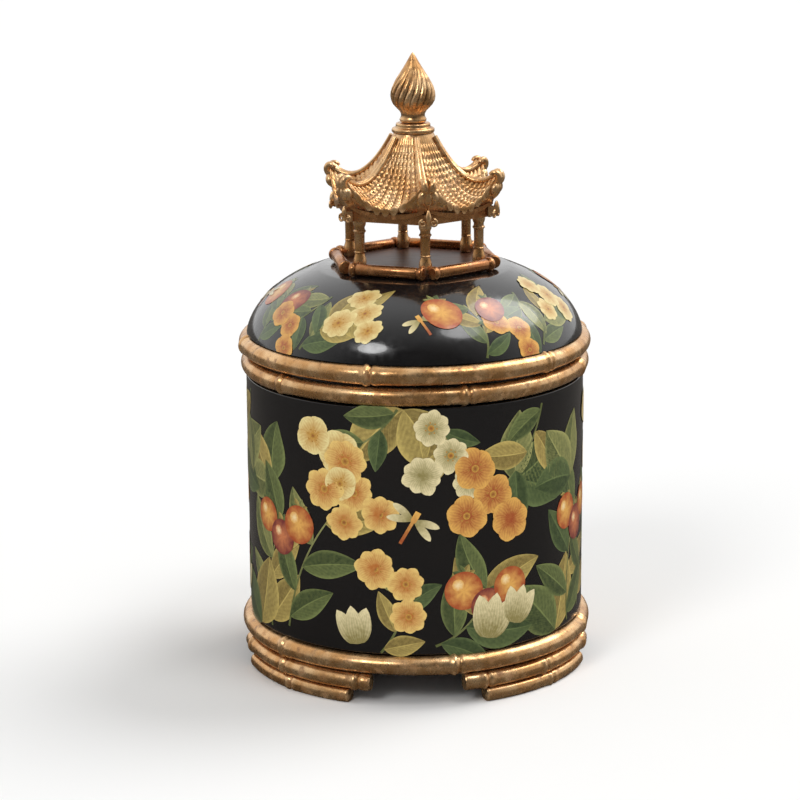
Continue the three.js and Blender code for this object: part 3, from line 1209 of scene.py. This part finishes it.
@dataclass
class JarBody:
    """The lacquered wall, its rings and its feet."""

    outer: float = 96.0
    bore: float = 88.0
    rebate: float = 92.0
    bottom: float = 17.1
    height: float = 180.0
    lower_shoulder: float = 29.2
    upper_shoulder: float = 168.5
    floor_radius: float = 87.7
    floor_bottom: float = 24.1
    floor_top: float = 32.1
    ring_clearance: float = 0.2
    cane_circle: float = 95.3
    base_level: float = 22.9
    base_cane: float = 6.2
    rim_circle: float = 94.0
    rim_level: float = 174.5
    rim_cane: float = 5.9
    foot_cane: float = 5.7
    upper_cane_level: float = 12.2
    upper_cane_reach: float = 32.5
    lower_cane_level: float = 3.65
    lower_cane_reach: float = 25.0
    foot_angles: tuple[float, ...] = (48, 132, 228, 312)
    base_joints: tuple[float, ...] = (-50, 12, 74, 130, 192, 254)
    rim_joints: tuple[float, ...] = (-50, 16, 73, 130, 196, 253)

    def build(self, finishes: Finishes) -> None:
        """Builds the jar's pieces.

        Args:
            finishes: the built materials.
        """
        outline = [
            (self.bore, self.bottom),
            (self.rebate, self.bottom),
            (self.rebate, self.lower_shoulder),
            (self.outer, self.lower_shoulder),
            (self.outer, self.upper_shoulder),
            (self.rebate, self.upper_shoulder),
            (self.rebate, self.height),
            (self.bore, self.height),
        ]
        wall = turned("lacquered_wall", rounded(outline, 0.6), 256, closed=True)
        finish_piece(wall, finishes.lacquer, Body.JAR, Slot.LACQUER, ["jar_wall"])
        disc = [
            (0, self.floor_bottom),
            (self.floor_radius, self.floor_bottom),
            (self.floor_radius, self.floor_top),
            (0, self.floor_top),
        ]
        floor = turned("jar_floor", disc, 160)
        finish_piece(floor, finishes.dark_wood, Body.JAR, Slot.DARK_WOOD, ["jar_bottom"])
        rings = [
            BambooCane(
                "gilt_base_ring",
                Body.JAR,
                self.cane_circle,
                self.base_level,
                self.base_cane,
                list(self.base_joints),
                ["base_ring"],
            ),
            BambooCane(
                "gilt_rim_ring",
                Body.JAR,
                self.rim_circle,
                self.rim_level,
                self.rim_cane,
                list(self.rim_joints),
                ["jar_rim_ring"],
            ),
        ]
        for ring in rings:
            ring.inner = self.rebate + self.ring_clearance
            ring.bottom = self.bottom
            ring.build(finishes.gilt)
        for index, angle in enumerate(self.foot_angles, start=1):
            self.foot(index, angle, finishes)

    def foot(self, index: int, angle: float, finishes: Finishes) -> None:
        """Builds the two stacked canes of one foot.

        Args:
            index: the foot's number, from 1.
            angle: the angle of its middle.
            finishes: the built materials.
        """
        upper = BambooCane(
            f"gilt_upper_cane_{index}",
            Body.JAR,
            self.cane_circle,
            self.upper_cane_level,
            self.foot_cane,
            [angle - 26, angle - 2, angle + 27],
            [f"upper_cane_{index}"],
            span=(angle - self.upper_cane_reach, angle + self.upper_cane_reach),
            bottom=7.45,
            top=16.95,
        )
        lower = BambooCane(
            f"gilt_lower_cane_{index}",
            Body.JAR,
            self.cane_circle,
            self.lower_cane_level,
            self.foot_cane,
            [angle + 1],
            [f"lower_cane_{index}"],
            span=(angle - self.lower_cane_reach, angle + self.lower_cane_reach),
            bottom=0.0,
            top=7.35,
        )
        upper.build(finishes.gilt)
        lower.build(finishes.gilt)


@dataclass
class LidBody:
    """The domed lid, its ring and its locating collar."""

    shape: DomeShape = field(default_factory=DomeShape)
    bore: float = 88.0
    hollow: float = 36.2
    seat: float = 92.0
    rim: float = 180.3
    screw_bore: float = 2.6
    ceiling: float = 222.2
    joints: tuple[float, ...] = (-80, -16, 47.5, 100, 164, 227.5)

    def build(self, finishes: Finishes) -> None:
        """Builds the lid's shell and ring.

        Args:
            finishes: the built materials.
        """
        shape = self.shape
        inner = [
            (self.bore * math.cos(turn) ** (2 / shape.fullness), shape.spring + self.hollow * math.sin(turn))
            for turn in (math.pi / 2 * 0.97 * step / 24 for step in range(24, -1, -1))
        ]
        outline = [
            (self.seat, self.rim),
            (self.seat, shape.first),
            *shape.curve(48),
            (self.screw_bore, shape.land),
            (self.screw_bore, self.ceiling),
            *inner,
            (self.bore, self.rim),
        ]
        dome = turned("lacquered_dome", outline, 256, closed=True)
        finish_piece(dome, finishes.lacquer, Body.LID, Slot.LACQUER, ["lid_dome"])
        collar = [(84.5, 168), (87.2, 168), (87.2, 180.3), (87.7, 180.3), (87.7, 185.7), (84.5, 185.7)]
        ring = turned("locating_collar", rounded(collar, 0.5), 192, closed=True)
        finish_piece(ring, finishes.dark_wood, Body.LID, Slot.DARK_WOOD, ["lid_locating_collar"])
        cane = BambooCane("gilt_lid_ring", Body.LID, 94.8, 186.2, 6.1, list(self.joints), ["lid_rim_ring"])
        cane.inner = 92.2
        cane.bottom = 180.4
        cane.build(finishes.gilt)


@dataclass
class Pagoda:
    """The six-sided pagoda: rails, columns, swept tiled roof and flame finial."""

    turn: float = 9.0
    sides: int = 6
    eave_corner: float = 51.0
    top_radius: float = 11.0
    roof_bottom: float = 264.6
    roof_top: float = 303.7
    face_low: float = 267.0
    hip_low: float = 274.0
    tip_lift: float = 11.0
    ribs: int = 9
    face_steps: int = 96
    roof_rows: int = 120
    column_circle: float = 38.8
    column_foot: float = 231.3
    rail_corner: float = 48.5
    rail_level: float = 232.4
    rail_radius: float = 3.25
    rail_bead: float = 3.9

    def corner(self, index: int) -> float:
        """The angle of a corner."""
        return self.turn + 360 * index / self.sides

    def hip_height(self, share: float) -> float:
        """Height of a hip, from 0 at the top to 1 at the eave."""
        return self.hip_low + (self.roof_top - self.hip_low) * (1 - share) ** 2.5 + self.tip_lift * share**4

    def face_height(self, share: float) -> float:
        """Height of the middle of a face."""
        return self.face_low + (self.roof_top - self.face_low) * (1 - share) ** 2

    def roof_point(self, fraction: float, share: float, lift: float = 0.0) -> Vector:
        """A point of the roof.

        Args:
            fraction: how far round the roof, counted in faces from the first corner.
            share: how far down it, from 0 at the top to 1 at the eave.
            lift: millimetres above it.

        Returns:
            The point, in metres.
        """
        across = 2 * (fraction % 1) - 1
        edge = self.eave_corner * math.cos(math.pi / 6) / math.cos(across * math.pi / 6)
        radius = self.top_radius + (edge - self.top_radius) * share
        middle = self.face_height(share)
        height = middle + (self.hip_height(share) - middle) * abs(across) ** 2.2
        return around(self.turn + fraction * 60, radius + lift * 0.35, height + lift)

    def tile_wave(self, fraction: float) -> float:
        """How high a tile stands at a place across its face, from 0 to 1."""
        return abs(math.sin(math.pi * self.ribs * (fraction % 1)))

    def lobe_radius(self, share: float) -> float:
        """A leaf lobe's radius in metres at a share of its length."""
        return (0.7 + 1.7 * math.sin(math.pi * min(share + 0.08, 1))) * MM

    def roof(self, finishes: Finishes) -> None:
        """Builds the tiled roof with its beaded ribs and scalloped eave.

        Args:
            finishes: the built materials.
        """
        around_steps, rows = self.sides * self.face_steps, self.roof_rows
        points: list[Vector] = []
        for row in range(rows + 1):
            share = row / rows
            for step in range(around_steps):
                fraction = step / self.face_steps
                wave = self.tile_wave(fraction)
                bead = 0.4 + 0.6 * abs(math.sin(math.pi * share * 15))
                fade = min(share * 6, 1)
                rib = 1.7 * (wave**0.7) * bead * fade * (0.45 + 0.55 * share)
                points.append(self.roof_point(fraction, share, rib - 0.1))
        scallop_rows = 3
        for row in range(1, scallop_rows + 1):
            for step in range(around_steps):
                fraction = step / self.face_steps
                wave = self.tile_wave(fraction)
                drop = (0.1 + 3.6 * wave**0.6) * row / scallop_rows
                point = self.roof_point(fraction, 1.0)
                points.append(point + Vector((0, 0, -drop * MM)))
        soffit = [(0.93, 0.6), (0.8, 1.0)]
        for share, depth in soffit:
            for step in range(around_steps):
                fraction = step / self.face_steps
                hip = abs(2 * (fraction % 1) - 1)
                rim = self.roof_point(fraction, 1.0)
                level = self.roof_bottom + 0.3 + 5.2 * hip**2 * (1 - depth) * 1.2
                points.append(Vector((rim.x * share, rim.y * share, level * MM)))
        rings = rows + 1 + scallop_rows + len(soffit)
        faces: list[Face] = []
        for ring in range(rings - 1):
            for step in range(around_steps):
                after = (step + 1) % around_steps
                start, end = ring * around_steps, (ring + 1) * around_steps
                faces.append((start + step, end + step, end + after, start + after))
        faces.append(tuple(range(around_steps)))
        faces.append(tuple(range((rings - 1) * around_steps, rings * around_steps)))
        piece = mesh_piece("tiled_roof", points, faces)
        finish_piece(piece, finishes.gilt, Body.LID, Slot.GILT, ["roof"], 60)

    def hips(self, finishes: Finishes) -> None:
        """Builds a double ridge over each hip, with a curled end.

        Args:
            finishes: the built materials.
        """
        for index in range(self.sides):
            parts = []
            for offset in (-0.036, 0.036):
                path = []
                for step in range(41):
                    share = 0.04 + 0.9 * step / 40
                    spread = offset * (1.25 - 0.55 * share)
                    path.append(self.roof_point((index + spread) % 6, share, 1.5))
                parts.append(tube(path, lambda share: (1.0 + 0.55 * share) * MM, 12))
            parts.append(self.curl(index, 1))
            parts.append(self.curl(index, -1))
            points, faces = joined(parts)
            piece = mesh_piece(f"gilt_hip_{index + 1}", points, faces)
            finish_piece(piece, finishes.gilt, Body.LID, Slot.GILT, [f"hip_ridge_{index + 1}"], 60)

    def curl(self, index: int, side: int) -> Form:
        """A scroll at the end of a hip, leaning to one side.

        Args:
            index: the corner's number, from 0.
            side: 1 or -1, the way it leans.

        Returns:
            Its points and faces.
        """
        path = []
        for step in range(27):
            share = step / 26
            turn = math.radians(-100 + 250 * share)
            size = 3.6 * (1 - 0.55 * share)
            radius = 48.6 + size * math.cos(turn)
            height = 281.6 + size * math.sin(turn)
            path.append(around(self.corner(index) + side * (1.4 + 2.6 * share), radius, height))
        sideways = around(self.corner(index) + 90, 1, 0).normalized()
        return tube(path, lambda share: (2.4 - 0.9 * share) * MM, 12, sideways)

    def corner_leaves(self, finishes: Finishes) -> None:
        """Builds the drooping leaf under each eave corner.

        Args:
            finishes: the built materials.
        """
        for index in range(self.sides):
            parts = []
            for side in (-1, 0, 1):
                path = []
                for step in range(17):
                    share = step / 16
                    radius = 50.0 - 3.6 * share**2
                    height = 278.5 - (10.5 - 2 * abs(side)) * share
                    lean = side * (1.2 + 3.0 * math.sin(math.pi * share))
                    path.append(around(self.corner(index) + lean, radius, height))
                sideways = around(self.corner(index), 1, 0).normalized()
                parts.append(tube(path, self.lobe_radius, 12, sideways))
            parts.extend(self.fleur(index))
            points, faces = joined(parts)
            piece = mesh_piece(f"gilt_corner_leaf_{index + 1}", points, faces)
            finish_piece(piece, finishes.gilt, Body.LID, Slot.GILT, [], 60)

    def fleur(self, index: int) -> list[Form]:
        """A small three-lobed leaf over a column, with a volute at each side.

        Args:
            index: the corner's number, from 0.

        Returns:
            The leaf's and the volutes' shapes.
        """
        sideways = around(self.corner(index), 1, 0).normalized()
        shapes = []
        for side in (-1, 1):
            path = []
            for step in range(21):
                share = step / 20
                turn = math.radians(90 - side * 400 * share)
                size = 2.1 * (1 - 0.6 * share)
                across = side * 3.0 + size * math.cos(turn)
                height = 260.6 + size * math.sin(turn)
                path.append(around(self.corner(index) + math.degrees(across / 49), 49.2, height))
            shapes.append(tube(path, lambda share: (0.75 - 0.25 * share) * MM, 10, sideways))
        path = [around(self.corner(index), 49.3, 259.2 + 8.6 * step / 12) for step in range(13)]
        shapes.append(tube(path, lambda share: (0.5 + 1.2 * math.sin(math.pi * share)) * MM, 10, sideways))
        return shapes

    def columns(self, finishes: Finishes) -> None:
        """Builds the six turned columns.

        Args:
            finishes: the built materials.
        """
        outline = [
            (0, 0), (2.9, 0), (3.5, 0.8), (3.7, 2.4), (3.7, 4.2), (3.3, 6.2), (2.75, 8.2), (2.7, 9.0),
            (3.05, 9.5), (2.7, 10.0), (2.75, 19.6), (2.9, 20.3), (3.5, 20.9), (3.5, 21.5), (2.9, 22.0),
            (2.8, 23.4), (3.2, 24.2), (3.55, 25.2), (3.55, 26.9), (0, 26.9),
        ]
        for index in range(self.sides):
            piece = turned(f"gilt_column_{index + 1}", outline, 32)
            foot = around(self.corner(index), self.column_circle, self.column_foot)
            piece.data.transform(Matrix.Translation(foot))
            finish_piece(piece, finishes.gilt, Body.LID, Slot.GILT, [f"column_{index + 1}"], 35)

    def rails(self, finishes: Finishes) -> None:
        """Builds the six base rails with a bead at each end.

        Args:
            finishes: the built materials.
        """
        rail = self.rail_radius
        half = self.rail_corner / 2 - self.rail_bead * math.tan(math.pi / 6) - 0.3
        outline: Outline = [(0, -half), (2.6, -half)]
        for step in range(9):
            turn = math.pi * step / 8
            outline.append((rail - 0.2 + 0.85 * math.sin(turn), -half + 3.4 * (1 - math.cos(turn)) / 2))
        outline += [(rail - 0.35, -half + 3.9), (rail, -half + 4.6)]
        outline += [(radius, -height) for radius, height in reversed(outline)]
        for index in range(self.sides):
            piece = turned(f"gilt_rail_{index + 1}", outline, 32)
            middle = self.corner(index) + 30
            spot = around(middle, self.rail_corner * math.cos(math.pi / 6), self.rail_level)
            lie = Matrix.Rotation(math.radians(middle), 4, "Z") @ Matrix.Rotation(math.pi / 2, 4, "Y")
            piece.data.transform(Matrix.Translation(spot) @ lie)
            # The rails under the roof take the darker copy of the gilt, as painted shade.
            finish_piece(piece, finishes.shaded_red_gilt, Body.LID, Slot.GILT, [f"base_rail_{index + 1}"], 40)

    def finial(self, finishes: Finishes) -> None:
        """Builds the roof's collar and the flame with its swirling flutes.

        Args:
            finishes: the built materials.
        """
        collar = [(3.3, 304), (12, 304), (12, 306.4), (9.7, 307.0), (9.7, 309.3), (3.3, 309.3)]
        ring = turned("gilt_roof_collar", rounded(collar, 0.9), 96, closed=True)
        finish_piece(ring, finishes.gilt, Body.LID, Slot.GILT, ["roof_collar"], 50)
        profile = [
            (3.0, 291.8), (3.0, 309.6), (6.6, 309.6), (7.4, 310.4), (7.6, 311.2), (7.2, 312.0), (6.7, 313.0),
            (6.7, 314.4), (7.6, 316.0), (9.4, 317.8), (11.2, 319.8), (12.3, 322.0), (12.6, 324.2),
            (12.4, 326.6), (11.7, 329.2), (10.6, 331.6), (9.1, 334.3), (7.3, 337.0), (5.5, 339.8),
            (3.8, 342.6), (2.3, 345.2), (1.0, 347.4), (0.25, 348.4),
        ]
        count, flutes = 216, 18
        points: list[Vector] = []
        levels: Outline = []
        for (r0, z0), (r1, z1) in zip(profile, profile[1:]):
            steps = 1 if z0 < 314 else 4
            for step in range(steps):
                levels.append((r0 + (r1 - r0) * step / steps, z0 + (z1 - z0) * step / steps))
        levels.append(profile[-1])
        for radius, height in levels:
            share = min(max((height - 315.0) / 33.4, 0), 1)
            depth = 0.12 * math.sin(math.pi * min(share * 1.15 + 0.05, 1)) if share else 0.0
            for step in range(count):
                angle = 360 * step / count
                swirl = math.radians(angle * flutes) / 2 - share * 9.5
                groove = 1 - abs(math.sin(swirl)) ** 0.7
                points.append(around(angle, radius * (1 - depth * groove), height))
        faces: list[Face] = []
        for ring_index in range(len(levels) - 1):
            for step in range(count):
                after = (step + 1) % count
                start, end = ring_index * count, (ring_index + 1) * count
                faces.append((start + step, start + after, end + after, end + step))
        faces.append(tuple(range(count)))
        faces.append(tuple(range((len(levels) - 1) * count, len(levels) * count)))
        flame = mesh_piece("gilt_flame", points, faces)
        finish_piece(flame, finishes.gilt, Body.LID, Slot.GILT, ["flame_finial"], 70)

    def build(self, finishes: Finishes) -> None:
        """Builds the whole pagoda.

        Args:
            finishes: the built materials.
        """
        self.roof(finishes)
        self.hips(finishes)
        self.corner_leaves(finishes)
        self.columns(finishes)
        self.rails(finishes)
        self.finial(finishes)


def decorate(finishes: Finishes) -> None:
    """Paints the wall and the dome with sprays of smooth leaves, open blossoms and round fruit.

    Args:
        finishes: the built materials.
    """
    wall = Painter(WallCanvas(), "wall_painted", 11)
    for turn in (0, 120, 240):
        wall.fan((turn - 4, 168), 262, 70, 2, 50)
        wall.fan((turn + 34, 124), 30, 110, 3, 44)
        wall.fan((turn - 56, 116), 130, 96, 3, 42)
        wall.fan((turn + 54, 30), 104, 60, 2, 50)
        wall.spray((turn - 48, 36), (46, 84), 16, 6, 36, 5, 0, PETAL_TINTS[0], 8, 12.5)
        wall.spray((turn + 6, 34), (30, 36), -14, 6, 40, 0, 3, PETAL_TINTS[1])
        wall.spray((turn + 46, 164), (-34, -46), 12, 5, 34, 4, 0, PETAL_TINTS[1], 6, 13)
        wall.spray((turn - 6, 168), (-34, -26), 8, 4, 26, 3, 0, PETAL_TINTS[2], 5, 12)
        wall.spray((turn - 12, 30), (14, 40), -8, 4, 28, 3, 0, PETAL_TINTS[0], 8, 13)
        wall.spray((turn + 4, 166), (12, -24), 6, 3, 26, 4, 0, CREAM, 8, 13)
        wall.spray((turn + 62, 32), (12, 70), 10, 6, 38, 0, 3, PETAL_TINTS[0])
        for offset, height, size in ((24, 36, 26), (34, 42, 22), (-20, 34, 22)):
            wall.bud((turn + offset, height), (0, 0), 90 - offset / 2, size, CREAM)
        wall.dragonfly((turn - 1, 106), 60, 24)
    wall.build(finishes)
    dome = Painter(DomeCanvas(DomeShape()), "dome_painted", 29)
    for turn in (0, 90, 180, 270):
        dome.spray((turn - 42, 4), (30, 26), 8, 6, 26, 4, 0, PETAL_TINTS[2], 8, 9.5)
        dome.spray((turn + 24, 2), (-4, 34), -8, 6, 24, 0, 2, PETAL_TINTS[0])
        dome.spray((turn + 50, 40), (-16, -24), 4, 5, 24, 3, 0, PETAL_TINTS[1], 6, 9)
        dome.dragonfly((turn + 2, 26), 120, 17)
    dome.build(finishes)


def dress_frame(finishes: Finishes) -> None:
    """Gives each of the frame's own nodes its finish.

    Args:
        finishes: the built materials.
    """
    slots = {row["node"]: row["material_slot"] for row in frame["record"]["subparts"]}
    for name, node in frame["nodes"].items():
        material = finishes.of(Slot(slots[name]))
        # The valances and entablature under the roof take the darker copy of the gilt, as painted shade.
        if name.startswith(("valance", "entablature")):
            material = finishes.shaded_red_gilt
        node.data.materials.clear()
        node.data.materials.append(material)


@dataclass
class Studio:
    """The floor, lights and camera."""

    aim_height: float = 149.7
    distance: float = 1522.4
    elevation: float = 13.9
    roll: float = -0.45
    aside: float = -8.5
    lens: float = 119.6

    def floor(self) -> None:
        """A wide pale floor."""
        bpy.ops.object.select_all(action="DESELECT")
        bpy.ops.mesh.primitive_plane_add(size=60, location=(0, 0, 0))
        plane = bpy.context.object
        plane.name = "studio_floor"
        sheet = NodeSheet("studio_floor")
        pale = sheet.mix(sheet.noise(0.6, 2, sheet.place()), (0.93, 0.93, 0.925, 1), (0.94, 0.94, 0.935, 1))
        glossy = sheet.nodes.new("ShaderNodeLightPath").outputs["Is Glossy Ray"]
        tone = sheet.mix(glossy, pale, (0.10, 0.09, 0.08, 1))
        sheet.set(sheet.surface.inputs["Base Color"], tone)
        sheet.surface.inputs["Roughness"].default_value = 0.9
        sheet.surface.inputs["Specular IOR Level"].default_value = 0.1
        plane.data.materials.append(sheet.material)

    def sun(self, name: str, azimuth: float, elevation: float, strength: float, softness: float) -> None:
        """A distant soft lamp, from an angle round the jar and a height above the horizon.

        Args:
            name: the lamp's name.
            azimuth: its angle round the jar.
            elevation: its height above the horizon, in degrees.
            strength: its strength.
            softness: the angle that it covers in the sky.
        """
        data = bpy.data.lights.new(name, "SUN")
        data.energy = strength
        data.angle = math.radians(softness)
        lamp = bpy.data.objects.new(name, data)
        bpy.context.collection.objects.link(lamp)
        flat = math.cos(math.radians(elevation))
        towards = around(azimuth, 1000 * flat, 1000 * math.sin(math.radians(elevation)))
        lamp.rotation_euler = towards.to_track_quat("Z", "Y").to_euler()

    def world(self) -> None:
        """A white surround, dimmer in front of the jar, where a studio is dark."""
        world = bpy.data.worlds.new("studio_surround")
        bpy.context.scene.world = world
        world.use_nodes = True
        nodes, links = world.node_tree.nodes, world.node_tree.links
        nodes.clear()
        path = nodes.new("ShaderNodeLightPath")
        direction = nodes.new("ShaderNodeTexCoord")
        split = nodes.new("ShaderNodeSeparateXYZ")
        links.new(direction.outputs["Generated"], split.inputs[0])
        fade = nodes.new("ShaderNodeMapRange")
        links.new(split.outputs["Y"], fade.inputs["Value"])
        for name, number in (("From Min", -0.8), ("From Max", 0.2), ("To Min", 0.05), ("To Max", 1.0)):
            fade.inputs[name].default_value = number
        glossy = nodes.new("ShaderNodeBackground")
        links.new(fade.outputs["Result"], glossy.inputs["Strength"])
        plain = nodes.new("ShaderNodeBackground")
        plain.inputs["Strength"].default_value = 0.47
        white = nodes.new("ShaderNodeBackground")
        white.inputs["Strength"].default_value = 1.0
        for node in (glossy, plain, white):
            node.inputs["Color"].default_value = (1, 1, 1, 1)
        first = nodes.new("ShaderNodeMixShader")
        links.new(path.outputs["Is Glossy Ray"], first.inputs[0])
        links.new(plain.outputs[0], first.inputs[1])
        links.new(glossy.outputs[0], first.inputs[2])
        second = nodes.new("ShaderNodeMixShader")
        links.new(path.outputs["Is Camera Ray"], second.inputs[0])
        links.new(first.outputs[0], second.inputs[1])
        links.new(white.outputs[0], second.inputs[2])
        output = nodes.new("ShaderNodeOutputWorld")
        links.new(second.outputs[0], output.inputs["Surface"])

    def camera(self) -> None:
        """The photograph's view."""
        data = bpy.data.cameras.new("studio_camera")
        data.lens = self.lens
        data.sensor_width = 36
        data.sensor_fit = "HORIZONTAL"
        data.clip_end = 100
        camera = bpy.data.objects.new("studio_camera", data)
        bpy.context.collection.objects.link(camera)
        pitch = math.radians(self.elevation)
        place = Vector((self.aside, -self.distance * math.cos(pitch), 0)) * MM
        place.z = (self.aim_height + self.distance * math.sin(pitch)) * MM
        tilt = Matrix.Rotation(math.pi / 2 - pitch, 4, "X")
        roll = Matrix.Rotation(math.radians(self.roll), 4, "Z")
        camera.matrix_world = Matrix.Translation(place) @ tilt @ roll
        bpy.context.scene.camera = camera

    def build(self) -> None:
        """Sets up the studio."""
        bpy.context.scene.view_settings.view_transform = "Standard"
        self.floor()
        self.world()
        self.sun("key_lamp", 118, 50, 1.35, 34)
        self.sun("fill_lamp", -34, 40, 0.75, 18)
        self.sun("top_lamp", 55, 62, 0.5, 20)
        self.camera()


def main() -> None:
    """Builds every piece in order."""
    logging.basicConfig(level=logging.INFO, format="%(name)s %(message)s")
    Studio().build()
    finishes = Finishes()
    dress_frame(finishes)
    JarBody().build(finishes)
    LidBody().build(finishes)
    Pagoda().build(finishes)
    decorate(finishes)


if __name__ == "__main__":
    main()
